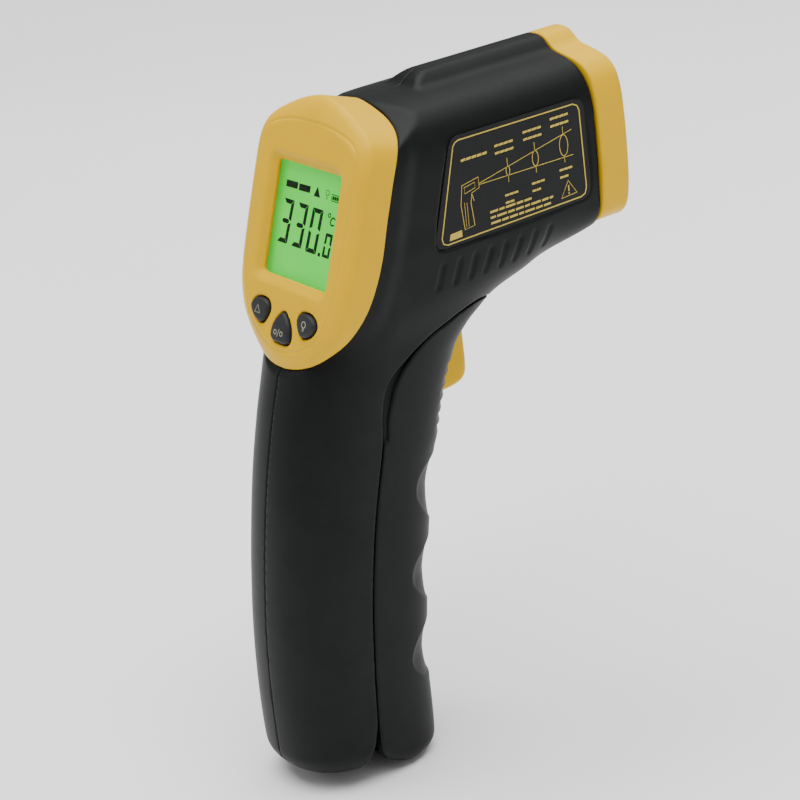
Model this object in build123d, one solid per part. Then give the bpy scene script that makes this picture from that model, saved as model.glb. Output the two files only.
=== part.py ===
from build123d import *
import math
import os

# ---------------------------------------------------------------------------
# Pistol-grip infrared thermometer.  Millimetres, +Z up, +Y towards the nose,
# +X to the holder's right.  Sizes below are measured from the centre of the
# display; everything is moved at the end so that the origin is the middle of
# the hand grip.
# ---------------------------------------------------------------------------
GRIP_MID_Y, GRIP_MID_Z = -4.0, -80.0      # middle of the hand grip

WALL = 2.2              # moulded shell thickness
TILT = 18.0             # display face leans forward
NOSE_REAR = 68.7        # rear edge of the nose ring
NOSE_FRONT = 76.9       # front of the nose ring
TOP_Z = 27.2            # top of the spine over the barrel
GRIP_BOTTOM = -131.0
GRIP_HALF = 16.5
GAP = 0.3               # seam round the battery door

HINGE_Y, HINGE_Z = -2.8, -121.0           # battery door hinge axis
HINGE_PIN_R, HINGE_BORE_R = 1.5, 1.55
DOOR_END_R = 4.9                          # door end turns inside the housing

TRIG_PIN_Y, TRIG_PIN_Z = 22.0, -21.5      # trigger pivot
TRIG_PIN_R, TRIG_BORE_R = 1.25, 1.32
TRIG_HALF = 5.5
SLOT_HALF = 6.3

LENS_Z = 2.0            # optical axis height
LENS_R = 8.0
TUBE_R = 9.2
LASER_Z = 21.2
LASER_R = 3.0

BATT_X, BATT_Y, BATT_Z = 26.5, 17.5, 46.4  # 9 V block battery body
BATT_TILT = 7.0
BATT_C = (0.0, -3.2, -89.0)

SCREW_R, PILOT_R = 1.2, 1.25
# y, z, seat of the head, tip
SCREWS = [(56.0, -13.2, -13.4, 10.5), (31.0, 11.0, -13.4, 10.5), (-10.5, -50.0, -10.6, 9.0),
          (-17.5, -116.8, -11.0, 9.4)]

os.makedirs("parts", exist_ok=True)
NODES = {}


def keep(name, shape):
    NODES[name] = shape


# ---------------------------------------------------------------- helpers --
def poly_face(pts3):
    return Face(Wire.make_polygon([Vector(*p) for p in pts3], close=True))


def yz_prism(pts, x0, x1):
    return Solid.extrude(poly_face([(x0, y, z) for y, z in pts]), Vector(x1 - x0, 0, 0))


def yz_prism_curve(curve, rest, x0, x1):
    # one smooth edge through curve, closed with straight edges through rest
    e = [Edge.make_spline([Vector(x0, y, z) for y, z in curve])]
    chain = [curve[-1]] + list(rest) + [curve[0]]
    for a, b in zip(chain[:-1], chain[1:]):
        e.append(Edge.make_line(Vector(x0, *a), Vector(x0, *b)))
    return Solid.extrude(Face(Wire(e)), Vector(x1 - x0, 0, 0))


def xz_prism(pts, y0, y1, smooth=False):
    if smooth:
        w = Wire([Edge.make_spline([Vector(x, y0, z) for x, z in pts], periodic=True)])
        f = Face(w)
    else:
        f = poly_face([(x, y0, z) for x, z in pts])
    return Solid.extrude(f, Vector(0, y1 - y0, 0))


def box(x0, x1, y0, y1, z0, z1):
    return Pos((x0 + x1) / 2, (y0 + y1) / 2, (z0 + z1) / 2) * Solid.make_box(
        x1 - x0, y1 - y0, z1 - z0).moved(Location((-(x1 - x0) / 2, -(y1 - y0) / 2, -(z1 - z0) / 2)))


def cyl_x(r, y, z, x0, x1):
    return Solid.make_cylinder(r, x1 - x0, Plane(origin=(x0, y, z), z_dir=(1, 0, 0)))


def cyl_y(r, x, z, y0, y1):
    return Solid.make_cylinder(r, y1 - y0, Plane(origin=(x, y0, z), z_dir=(0, 1, 0)))


def cone_y(r0, r1, x, z, y0, y1):
    return Solid.make_cone(r0, r1, y1 - y0, Plane(origin=(x, y0, z), z_dir=(0, 1, 0)))


def mirror_pts(half):
    # half: points with x >= 0 from top centre round to bottom centre
    left = [(-x, z) for x, z in reversed(half) if x > 1e-6]
    return list(half) + left


def inset(pts, d):
    # move every point of a closed outline inwards by d
    n = len(pts)
    area = sum(pts[i][0] * pts[(i + 1) % n][1] - pts[(i + 1) % n][0] * pts[i][1] for i in range(n))
    sgn = 1.0 if area > 0 else -1.0
    out = []
    for i in range(n):
        ax, ay = pts[i - 1]
        bx, by = pts[i]
        cx, cy = pts[(i + 1) % n]
        tx, ty = cx - ax, cy - ay
        l = math.hypot(tx, ty)
        out.append((bx - sgn * ty / l * d, by + sgn * tx / l * d))
    return out


def lerp_table(tab, v):
    # tab: rows (key, value...) with falling key
    if v >= tab[0][0]:
        return tab[0][1:]
    for a, b in zip(tab[:-1], tab[1:]):
        if v >= b[0]:
            t = (v - a[0]) / (b[0] - a[0])
            return tuple(p + (q - p) * t for p, q in zip(a[1:], b[1:]))
    return tab[-1][1:]


S, C = math.sin(math.radians(TILT)), math.cos(math.radians(TILT))
FACE = Plane(origin=(0, 0, 0), x_dir=(1, 0, 0), z_dir=(0, -C, S))   # display face


def face_prism(pts, z0, z1, smooth=False):
    if smooth:
        f = Face(Wire([Edge.make_spline([Vector(x, y, z0) for x, y in pts], periodic=True)]))
    else:
        f = poly_face([(x, y, z0) for x, y in pts])
    return Solid.extrude(f, Vector(0, 0, z1 - z0)).moved(FACE.location)


def face_box(x0, x1, y0, y1, z0, z1):
    return Solid.make_box(x1 - x0, y1 - y0, z1 - z0).moved(Location((x0, y0, z0))).moved(FACE.location)


def face_cyl(r, x, y, z0, z1):
    return Solid.make_cylinder(r, z1 - z0).moved(Location((x, y, z0))).moved(FACE.location)


def rrect(w, h, r, cx=0.0, cy=0.0, n=5):
    pts = []
    for qx, qy, a0 in ((1, 1, 0), (-1, 1, 90), (-1, -1, 180), (1, -1, 270)):
        for k in range(n + 1):
            a = math.radians(a0 + 90.0 * k / n)
            pts.append((cx + qx * (w / 2 - r) + r * math.cos(a), cy + qy * (h / 2 - r) + r * math.sin(a)))
    return pts


def try_fillet(shape, edges, radii, label=""):
    for r in radii:
        try:
            s = shape.fillet(r, edges)
            if s.is_valid and s.volume > 0:
                return s
        except Exception:
            pass
    print("fillet left out", label, len(edges))
    return shape


def solid_of(shape):
    # largest solid of a boolean result
    ss = shape.solids() if not isinstance(shape, Solid) else [shape]
    return sorted(ss, key=lambda s: s.volume)[-1]


# ------------------------------------------------------- outer body shape --
BARREL_HALF = [(0, 24.5), (5, 24.3), (9, 23.6), (12.5, 22.4), (15.3, 20.9), (17.2, 18.9),
               (18.5, 16.6), (19.2, 13.8), (19.5, 10), (19.6, 5), (19.6, 0), (19.5, -5),
               (19.2, -10), (18.8, -15), (18.4, -20), (18.0, -24), (17.6, -28), (17.3, -31)]

# grip sections: height, back y, front y, half width
GRIP = [(-16.0, -6.8, 41.5, 18.0), (-21.0, -8.3, 41.0, 17.8), (-26.0, -10.0, 38.6, 17.5),
        (-29.0, -11.0, 34.6, 17.3), (-32.0, -11.9, 31.6, 17.2), (-36.0, -13.1, 29.0, 17.0),
        (-41.0, -14.7, 27.2, 16.9), (-47.0, -16.3, 25.1, 16.8), (-53.0, -17.8, 23.2, 16.7),
        (-59.0, -19.1, 20.8, 16.6), (-66.0, -20.4, 19.6, 16.5), (-76.0, -22.0, 18.2, 16.5),
        (-86.0, -23.3, 15.8, 16.5), (-97.0, -24.3, 14.5, 16.5), (-106.0, -24.8, 13.2, 16.5),
        (-114.0, -24.9, 13.2, 16.5), (-121.0, -24.7, 13.7, 16.5), (GRIP_BOTTOM, -24.0, 13.3, 16.4)]


def grip_section(z, yb, yf, w, d=0.0, n=24):
    yb, yf, w = yb + d, yf - d, w - d
    ym = yb + min(0.47 * (yf - yb), 17.5)
    pts = []
    for k in range(n):
        a = 2 * math.pi * k / n
        ca, sa = math.cos(a), math.sin(a)
        ex = 2.35 if ca < 0 else 2.7
        x = w * math.copysign(abs(sa) ** (2 / ex), sa)
        if ca < 0:
            y = ym - (ym - yb) * abs(ca) ** (2 / ex)
        else:
            y = ym + (yf - ym) * abs(ca) ** (2 / ex)
        pts.append(Vector(x, y, z))
    return Wire([Edge.make_spline(pts, periodic=True)])


def grip_solid(d=0.0, z_low=None):
    rows = []
    for z, yb, yf, w in GRIP:
        rows.append([z, yb, yf, w])
    if z_low is not None:
        rows[-1][0] = z_low
    return Solid.make_loft([grip_section(z, yb, yf, w, d) for z, yb, yf, w in rows], ruled=False)


UNDER = [(74.0, -15.6), (68.4, -17.8), (60.0, -20.9), (50.0, -23.5), (42.0, -25.1), (34.0, -26.6), (24.0, -28.6)]


def barrel_solid(d=0.0):
    half = [(x, z) for x, z in BARREL_HALF]
    out = mirror_pts(half + [(17.3, -60), (0, -60)])
    if d:
        top = inset(mirror_pts(half + [(17.3, -60), (0, -60)]), d)
        out = top
    prism = xz_prism(out, -30, 68.45 if d == 0 else 80)
    under = [(y, z + d) for y, z in UNDER]
    side = yz_prism_curve(under, [(12, -30.5 + d), (2, -28.0 + d), (-4, -22.5 + d), (-30, -12 + d),
                                  (-30, 60), (90, 60), (90, under[0][1])], -40, 40)
    b = prism & side
    return solid_of(b)


def lower_edges(s):
    # the two long edges under the barrel
    out = []
    for e in s.edges():
        c = e.center()
        if abs(c.X) > 14 and e.length > 20 and -28 < c.Z < -15 and c.Y > 25:
            out.append(e)
    return out


barrel = barrel_solid(0.0)
barrel = solid_of(try_fillet(barrel, lower_edges(barrel), [5.0, 4.0, 3.0], "1"))
barrel_in = barrel_solid(WALL)
barrel_in = solid_of(try_fillet(barrel_in, lower_edges(barrel_in), [3.0, 2.0], "2"))

grip = grip_solid(0.0)
bottom_edges = [e for e in grip.edges() if abs(e.center().Z - GRIP_BOTTOM) < 0.5]
grip = solid_of(try_fillet(grip, bottom_edges, [5.0, 4.0, 3.0], "3"))
grip_in = grip_solid(WALL, GRIP_BOTTOM + WALL)
bottom_edges = [e for e in grip_in.edges() if abs(e.center().Z - GRIP_BOTTOM - WALL) < 0.5]
grip_in = solid_of(try_fillet(grip_in, bottom_edges, [3.0, 2.0], "4"))

# raised spine along the top of the barrel
SPINE_HALF = [(0, TOP_Z), (2.4, 26.9), (3.9, 26.1), (5.2, 24.9), (6.6, 24.1), (8.4, 23.5), (8.4, 20), (0, 20)]
spine = xz_prism(mirror_pts(SPINE_HALF), 20, 68.45) & yz_prism(
    [(28.0, 23.0), (29.4, 24.3), (31.5, 25.6), (34.1, 27.4), (90, 27.4), (90, 15), (28, 15)], -20, 20)
spine = solid_of(spine)
spine_in = xz_prism(mirror_pts([(0, 25.2), (2.8, 25.0), (3.9, 24.0), (5.0, 22.5), (5.0, 18), (0, 18)]), 36, 80)

outer = barrel + grip + spine
outer = solid_of(outer)
inner = barrel_in + grip_in + spine_in
inner = solid_of(inner)

# ------------------------------------------------------------ seam curves --
RIM = [(26.0, 30.5), (21.0, 26.6), (17.7, 24.3), (14.8, 22.6), (12.7, 20.6), (11.4, 15.0), (9.7, 9.0),
       (8.3, 4.6), (6.9, 0.3), (5.1, -5.4), (3.0, -10.6), (0.6, -15.4), (-3.4, -21.6), (-7.6, -26.9),
       (-11.7, -31.4), (-20.0, -40.0)]
behind_rim = yz_prism_curve(RIM, [(-60, -40), (-60, 60), (26, 60)], -40, 40)

SEAM = [(46.0, -27.6), (40.0, -25.6), (36.0, -24.3), (32.9, -24.0), (28.0, -24.7), (23.7, -25.9), (19.0, -27.3),
        (15.0, -29.1), (10.8, -31.4), (6.9, -34.0), (4.6, -37.6), (3.5, -42.2), (2.6, -49.0), (0.1, -59.5),
        (-1.9, -68.5), (-3.6, -78.0), (-5.0, -87.5), (-6.0, -97.3), (-6.8, -107.4), (-7.3, -116.0)]


def shifted(curve, d):
    out = []
    for i, (y, z) in enumerate(curve):
        a = curve[max(i - 1, 0)]
        b = curve[min(i + 1, len(curve) - 1)]
        ty, tz = b[0] - a[0], b[1] - a[1]
        l = math.hypot(ty, tz)
        out.append((y + tz / l * d, z - ty / l * d))
    return out


# side shapes of the battery door, and of the cut that it leaves in the housing
def door_region(d, end):
    # d > 0 moves the seam towards the door
    c = shifted(SEAM, -d)
    return yz_prism_curve(c, end + [(60, -150), (60, c[0][1])], -40, 40)


door_zone = door_region(GAP, [(-6.9, -118.5), (-6.95, -122.6), (-6.2, -124.6), (-5.2, -126.2), (-3.9, -128.0),
                              (-2.0, -129.8), (0.0, -131.2), (0.0, -150)])
cut_zone = door_region(0.0, [(-8.0, -118.5), (-8.7, -121.0), (-9.0, -121.9), (-9.9, -123.6), (-10.9, -126.2),
                             (-11.8, -129.0), (-12.4, -132), (-12.4, -150)])

# ---------------------------------------------------- shapes of the keys ----
KEY_SIDE = [(-3.45, 0.5), (-2.6, 1.85), (-0.5, 2.65), (2.4, 2.35), (3.4, 0.9), (2.75, -1.0), (1.3, -2.6), (-0.9, -2.3), (-2.75, -0.9)]
KEY_MID = [(0.0, 4.8), (1.3, 4.0), (2.8, 2.3), (3.5, 0.4), (3.45, -1.1), (2.4, -1.95), (0.0, -2.1), (-2.4, -1.95), (-3.45, -1.1),
           (-3.5, 0.4), (-2.8, 2.3), (-1.3, 4.0)]
KEYS = {"left": (-8.7, -20.9, KEY_SIDE), "centre": (0.0, -24.6, KEY_MID),
        "right": (8.7, -20.9, [(-x, y) for x, y in reversed(KEY_SIDE)])}

# ------------------------------------------------------------ the housing --
housing = outer - behind_rim
housing = housing - cut_zone
shell = housing - inner
shell = solid_of(shell)

# slot that the trigger's neck passes through
shell = shell - box(-SLOT_HALF, SLOT_HALF, 9.0, 33.5, -45, -18.5)

# label recesses, one in each side wall
LABEL = [(29.2, 16.2), (62.6, 16.0), (64.6, 15.4), (65.6, 13.6), (66.1, -5.2), (65.4, -7.2), (63.4, -8.1),
         (23.4, -8.6), (21.2, -8.0), (20.7, -6.0), (26.6, 14.2), (27.6, 15.6)]
LABEL_FLOOR = 18.95
for sx in (1, -1):
    x0, x1 = (LABEL_FLOOR, 25.0) if sx > 0 else (-25.0, -LABEL_FLOOR)
    shell = shell - yz_prism(LABEL, x0, x1)

# ribs, brackets and screw pillars
lens_brackets = []
for y in (42.0, 58.0):
    lens_brackets.append(box(-19, 19, y, y + 2.0, -12.5, 10.5) - cyl_y(TUBE_R + 0.1, 0, LENS_Z, y - 1, y + 3))
batt_loc = Location(BATT_C, (-BATT_TILT, 0, 0))
grip_ribs = [box(-16, 16, -24, -2.0, z, z + 2.0) for z in (-112.0, -96.0, -80.0, -67.0)]
bay = Solid.make_box(BATT_X + 0.8, 40.0, BATT_Z + 9.2).moved(
    Location((-(BATT_X + 0.8) / 2, -BATT_Y / 2 - 0.4, -(BATT_Z + 1.2) / 2))).moved(batt_loc)
pillars = []
for y, z, seat, tip in SCREWS:
    pillars.append(cyl_x(3.1, y, z, -19, 19))
stuff = []
for b in lens_brackets + grip_ribs + pillars:
    b = b & inner
    stuff += [s for s in b.solids()] if not isinstance(b, Solid) else [b]

# bracket that holds the trigger's pivot pin and the small switch board
pivot_lugs = []
for x0, x1 in ((7.0, 9.5), (-9.5, -7.0)):
    lug = yz_prism([(17.5, -26.5), (17.5, -17.5), (20.5, -15.0), (24.5, -15.0), (27.0, -18.0), (27.0, -25.0)], x0, x1)
    pivot_lugs.append(lug)
lug_bars = [box(9.0, 18.2, 17.5, 27.0, -17.0, -15.0), box(-18.2, -9.0, 17.5, 27.0, -17.0, -15.0),
            box(7.0, 9.5, 17.5, 27.0, -17.0, -15.0), box(-9.5, -7.0, 17.5, 27.0, -17.0, -15.0)]
board_rails = []
for x0, x1 in ((7.4, 16.0), (-16.0, -7.4)):
    board_rails.append(box(x0, x1, 0.6, 2.4, -50.0, -33.0))

# lugs that carry the battery door's hinge
hinge_lugs = []
for x0, x1, w0, w1 in ((9.3, 12.3, 9.3, 15.2), (-12.3, -9.3, -15.2, -9.3)):
    arm = yz_prism([(HINGE_Y + 1.2, HINGE_Z - 2.9), (HINGE_Y + 3.1, HINGE_Z), (HINGE_Y + 2.2, HINGE_Z + 2.6),
                    (-8.8, -112.0), (-15.0, -112.0), (-15.0, -124.0), (-9.0, -124.0)], x0, x1)
    block = box(w0, w1, -15.0, -9.2, -124.0, -112.0)
    hinge_lugs.append(solid_of(arm + block) - cyl_x(HINGE_BORE_R, HINGE_Y, HINGE_Z, x0 - 1, x1 + 1))

body = shell
for s in stuff:
    body = body + s
for s in pivot_lugs + lug_bars + board_rails + hinge_lugs:
    s2 = (s & outer)
    body = body + s2
body = body - bay
body = body - cyl_x(TRIG_PIN_R + 0.02, TRIG_PIN_Y, TRIG_PIN_Z, -9.3, 9.3)
# screw holes: clearance and head seat on the left, pilot on the right
for y, z, seat, tip in SCREWS:
    body = body - cyl_x(PILOT_R, y, z, -25, tip + 0.8)
    body = body - cyl_x(1.65, y, z, -25, -0.0)
    body = body - cyl_x(3.0, y, z, -25, seat)

# room for the keys
for kx, ky, shp in KEYS.values():
    body = body - face_prism([(kx + x, ky + y) for x, y in inset(shp, -1.5)], -7.4, 4, smooth=True)
right = body & box(0.0, 60, -100, 150, -200, 100)
left = body & box(-60, 0.0, -100, 150, -200, 100)
keep("housing_right", right)
keep("housing_left", left)

# ------------------------------------------------------------ battery door --
door = (outer & door_zone) - inner
door = solid_of(door)
door = door - box(-SLOT_HALF - 0.4, SLOT_HALF + 0.4, 8.0, 60, -51.8, -10)
# thumb recess along the upper side edges
for sx in (1, -1):
    scoop = yz_prism([(16.5, -28.2), (13.6, -30.9), (12.2, -31.8), (10.5, -33.3), (8.7, -35.3), (7.2, -37.6),
                      (6.2, -40.0), (5.2, -42.6), (4.6, -45.0), (3.2, -47.5), (0.0, -47.5), (0.0, -28.0)],
                     15.4 if sx > 0 else -30, 30 if sx > 0 else -15.4)
    door = door - scoop
# hinge pins on bosses inside the side walls
for sx in (1, -1):
    a, b = (9.6, 15.3) if sx > 0 else (-15.3, -9.6)
    c, d = (13.0, 15.3) if sx > 0 else (-15.3, -13.0)
    door = door + cyl_x(HINGE_PIN_R, HINGE_Y, HINGE_Z, a, b) + cyl_x(3.2, HINGE_Y, HINGE_Z, c, d)
# ribs inside the door press the foam pad against the battery
for sx in (1, -1):
    rib = Solid.make_box(1.4, 14.0, 30.0).moved(Location((sx * 6.0 - 0.7, BATT_Y / 2 + 2.0, -15.0))).moved(batt_loc)
    door = door + (rib & outer)
# locating tongues that slide inside the housing's side walls
for sx in (1, -1):
    x0, x1 = (12.0, 13.6) if sx > 0 else (-13.6, -12.0)
    tongue = yz_prism([(-4.5, -62.0), (-3.3, -56.5), (6.0, -56.5), (5.0, -62.0)], x0, x1)
    web = yz_prism([(2.4, -62.0), (3.4, -56.5), (6.0, -56.5), (5.0, -62.0)], x0 if sx > 0 else -15.0, 15.0 if sx > 0 else x1)
    door = door + tongue + web
door = solid_of(door)
keep("battery_door", door)

keep("door_pad", Solid.make_box(18.0, 1.6, 26.0).moved(Location((-9.0, BATT_Y / 2 + 0.35, -13.0))).moved(batt_loc))

# ----------------------------------------------------------------- bezel ----
BEZEL_HALF = [(0, 28.6), (4.5, 27.9), (9.0, 26.5), (13.4, 24.6), (16.8, 22.8), (19.3, 20.7), (20.6, 18.0), (21.1, 14.0),
              (21.3, 6.0), (21.3, -2.0), (21.1, -9.0), (20.6, -14.5), (19.6, -18.6), (17.6, -22.8), (14.6, -26.2),
              (11.0, -29.2), (7.0, -31.8), (3.4, -33.2), (0, -33.6)]
FACE_Z = 2.2
bz = face_prism(mirror_pts(BEZEL_HALF), -18.0, FACE_Z, smooth=True)
front_edges = [e for e in bz.edges() if abs((e.center() - Vector(0, 0, 0)).dot(Vector(0, -C, S)) - FACE_Z) < 0.4]
bz = solid_of(try_fillet(bz, front_edges, [4.6, 4.0, 3.0, 2.0], "5"))
bz_in = face_prism(inset(mirror_pts(BEZEL_HALF), 2.2), -22.0, -0.1, smooth=True)
bz = bz & behind_rim
bz = bz - bz_in
WIN_W, WIN_H = 22.9, 24.9
win = face_prism(rrect(WIN_W, WIN_H, 1.2), -3, 6)
lower = Face(Wire.make_polygon([Vector(x, y, 0.35) for x, y in rrect(WIN_W, WIN_H, 1.2)], close=True))
upper = Face(Wire.make_polygon([Vector(x, y, FACE_Z + 0.6) for x, y in rrect(WIN_W + 4.4, WIN_H + 4.4, 3.0)], close=True))
funnel = Solid.make_loft([lower.outer_wire(), upper.outer_wire()], ruled=True).moved(FACE.location)
bz = bz - win - funnel
for kx, ky, shp in KEYS.values():
    bz = bz - face_prism([(kx + x, ky + y) for x, y in inset(shp, -0.35)], -6, 6, smooth=True)
# snap posts that hold the bezel
keep("display_bezel", solid_of(bz))

# ---------------------------------------------------------- display stack ---
keep("display_window", face_prism(rrect(27.0, 28.6, 1.5), -1.1, -0.1))
keep("lcd_panel", face_box(-13.2, 13.2, -14.6, 14.6, -3.4, -1.3))
keep("backlight", face_box(-13.0, 13.0, -12.0, 12.0, -6.4, -3.5))
hold = face_box(-14.9, 14.9, -16.2, 16.2, -7.4, -1.3) - face_box(-13.3, 13.3, -14.7, 14.7, -8, -1)
keep("lcd_holder", hold)
zeb = face_box(-12.0, 12.0, 12.3, 14.2, -7.4, -3.4) + face_box(-12.0, 12.0, -14.2, -12.3, -7.4, -3.4)
keep("zebra_strips", zeb)
BOARD = mirror_pts([(0, 21.5), (13.0, 21.5), (15.0, 19.0), (15.0, -11.0), (11.8, -20.0), (8.0, -27.5), (0, -28.8)])
board = face_prism(BOARD, -9.0, -7.4)
BOARD_SCREWS = [(12.6, 18.6), (-12.6, 18.6), (0.0, -17.6)]
for x, y in BOARD_SCREWS:
    board = board - face_cyl(1.2, x, y, -10, -6)
keep("main_board", board)
bs = None
for x, y in BOARD_SCREWS:
    s = face_cyl(1.1, x, y, -9.0, -7.4) + face_cyl(2.0, x, y, -10.2, -9.0)
    bs = s if bs is None else bs + s
keep("board_screws", bs)
parts_ = face_box(-4.5, 4.5, -3.0, 6.0, -10.4, -9.0) + face_box(6.5, 12.5, 2.0, 6.0, -10.2, -9.0) \
    + face_box(-12.0, -7.5, 6.0, 9.5, -11.4, -9.0) + face_cyl(2.2, -10.0, -5.0, -14.2, -9.0)
keep("board_components", parts_)
keep("buzzer", face_cyl(5.0, 9.0, -7.5, -12.6, -9.0) - face_cyl(0.8, 9.0, -7.5, -13, -12))
pads = None
for nm, (kx, ky, shp) in KEYS.items():
    p = face_cyl(1.9, kx, ky, -7.4, -7.3)
    pads = p if pads is None else pads + p
keep("key_contacts", pads)

KEY_TRAVEL = 0.7
for nm, (kx, ky, shp) in KEYS.items():
    cap = face_prism([(kx + x, ky + y) for x, y in shp], -0.9, 2.75, smooth=True)
    top = [e for e in cap.edges() if abs(e.center().dot(Vector(0, -C, S)) - 2.75) < 0.3]
    cap = solid_of(try_fillet(cap, top, [0.6, 0.4], "6"))
    flange = face_prism([(kx + x, ky + y) for x, y in inset(shp, -0.8)], -1.6, -0.45, smooth=True)
    stem = face_cyl(1.7, kx, ky, -6.0, -1.4)
    keep("button_" + nm, solid_of(cap + flange + stem))
    keep("key_pill_" + nm, face_cyl(1.5, kx, ky, -6.5, -6.0))

# ------------------------------------------------------------- nose parts ---
RING_HALF = [(0, 27.3), (2.6, 26.9), (4.1, 25.9), (5.3, 24.9), (6.6, 24.2), (8.6, 23.7), (11.2, 23.2), (13.7, 22.6),
             (15.8, 21.7), (17.4, 20.4), (18.5, 18.9), (19.2, 17.0), (19.8, 14.2), (20.2, 9.5), (20.4, 3.5), (20.4, -2.4),
             (20.1, -7.5), (19.5, -10.9), (18.6, -13.1), (17.0, -14.8), (14.6, -15.9), (11.0, -16.6), (6.0, -16.9), (0, -17.0)]
ring_pts = mirror_pts(RING_HALF)
ring = xz_prism(ring_pts, NOSE_REAR, NOSE_FRONT, smooth=True)
fe = [e for e in ring.edges() if abs(e.center().Y - NOSE_FRONT) < 0.3]
ring = solid_of(try_fillet(ring, fe, [1.8, 1.2, 0.8], "7"))
ring_in = xz_prism(inset(ring_pts, 2.6), NOSE_REAR - 1, NOSE_FRONT + 1, smooth=True)
ring = ring - ring_in
# spigot that plugs into the barrel's mouth
sp_out = mirror_pts([(0, 21.6), (9, 20.8), (12.2, 19.6), (15.2, 16.6), (16.9, 12.5), (17.2, 5), (17.2, -5), (16.8, -10),
                     (15.4, -13.0), (12, -14.2), (0, -14.6)])
sp = xz_prism(sp_out, NOSE_REAR - 3.2, NOSE_REAR + 1.1) - xz_prism(inset(sp_out, 1.3), NOSE_REAR - 4, NOSE_REAR + 3)
sp_flange = xz_prism(inset(ring_pts, 2.0), NOSE_REAR, NOSE_REAR + 1.2, smooth=True) - xz_prism(
    inset(sp_out, 1.3), NOSE_REAR - 4, NOSE_REAR + 3) - cyl_y(3.4, 0, LASER_Z, 60, 80)
ring = ring + sp_flange + sp
ring = ring - cyl_y(3.4, 0, LASER_Z, 60, NOSE_REAR + 1.3)
keep("nose_ring", solid_of(ring))

face_pts = inset(ring_pts, 2.6)
nf = xz_prism(face_pts, NOSE_REAR + 1.3, NOSE_FRONT - 1.6, smooth=True)
nf = nf - cone_y(9.4, 12.4, 0, LENS_Z, NOSE_REAR + 1.2, NOSE_FRONT - 1.5)
nf = nf - cyl_y(1.6, 0, LASER_Z, 60, 80) - cyl_y(2.6, 0, LASER_Z, 60, NOSE_REAR + 3.0)
keep("nose_face", solid_of(nf))
keep("laser_window", cyl_y(2.5, 0, LASER_Z, NOSE_REAR + 2.0, NOSE_REAR + 2.9))

tube = cyl_y(TUBE_R, 0, LENS_Z, 38.0, NOSE_REAR + 0.6) - cyl_y(TUBE_R - 1.2, 0, LENS_Z, 40.0, NOSE_REAR + 2)
tube = tube - cyl_y(3.0, 0, LENS_Z, 37, 41)
keep("lens_tube", tube)
dome = Solid.make_sphere(24.0, Plane(origin=(0, 62.5 - 24.0 + 3.2, LENS_Z))) & cyl_y(LENS_R - 0.05, 0, LENS_Z, 61.0, 70)
keep("lens", solid_of(dome))
ret = cyl_y(TUBE_R - 1.25, 0, LENS_Z, 65.0, 67.4) - cyl_y(6.4, 0, LENS_Z, 64, 69)
keep("lens_retainer", ret)
can = cyl_y(2.9, 0, LENS_Z, 36.6, 41.2) + cyl_y(4.2, 0, LENS_Z, 36.6, 37.4)
keep("ir_sensor", can)
keep("sensor_board", cyl_y(8.0, 0, LENS_Z, 35.0, 36.6))
lm = cyl_y(LASER_R, 0, LASER_Z, 53.0, 66.5) - cyl_y(1.6, 0, LASER_Z, 62, 67)
keep("laser_module", lm)
keep("laser_lens", cyl_y(1.55, 0, LASER_Z, 63.5, 65.0))
cradle = box(-3.9, 3.9, 55.0, 64.0, LENS_Z + TUBE_R + 0.02, LASER_Z - 0.4) - cyl_y(LASER_R + 0.02, 0, LASER_Z, 50, 70) \
    - cyl_y(TUBE_R + 0.02, 0, LENS_Z, 50, 70)
keep("laser_cradle", solid_of(cradle))

# ---------------------------------------------------------------- trigger ---
trig_pts = [(36.2, -28.6), (36.6, -36.0), (36.6, -43.4), (36.1, -45.6), (34.9, -47.0), (33.0, -47.7), (26.0, -48.3),
            (19.5, -48.3), (17.4, -47.6), (17.4, -41.4), (14.6, -41.0), (14.4, -35.4), (17.2, -33.4), (18.2, -24.0),
            (20.0, -18.4), (24.0, -18.4), (26.4, -22.0), (28.6, -26.6), (31.0, -28.6), (33.6, -29.0)]
tr = yz_prism(trig_pts, -TRIG_HALF, TRIG_HALF)
vert = [e for e in tr.edges() if e.center().Y > 33 and abs(abs(e.center().X) - TRIG_HALF) < 0.1]
tr = solid_of(try_fillet(tr, vert, [1.6, 1.0, 0.6], "8"))
tr = tr - cyl_x(TRIG_BORE_R, TRIG_PIN_Y, TRIG_PIN_Z, -10, 10)
keep("trigger", tr)
keep("trigger_pin", cyl_x(TRIG_PIN_R, TRIG_PIN_Y, TRIG_PIN_Z, -9.2, 9.2))
keep("switch_board", box(-7.2, 7.2, 2.5, 4.1, -49.5, -33.5))
sw = box(-3.0, 3.0, 4.1, 9.6, -41.2, -35.2) + cyl_y(1.7, 0, -38.2, 9.6, 12.2)
keep("trigger_switch", sw)
post = cyl_y(1.5, 0, -44.7, 4.1, 8.0)
keep("spring_post", post)
# conical-wire compression spring between the switch board and the trigger
pitch, turns, coil_r, wire_r = 2.05, 6, 2.1, 0.28
helix = Edge.make_helix(pitch, pitch * turns, coil_r, center=(0, 4.45, -44.7), normal=(0, 1, 0))
hp = helix @ 0
prof = Wire.make_circle(wire_r, Plane(origin=hp, z_dir=helix % 0))
spring = Solid.sweep(Face(prof), Wire([helix]), is_frenet=True)
keep("trigger_spring", spring)

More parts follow.
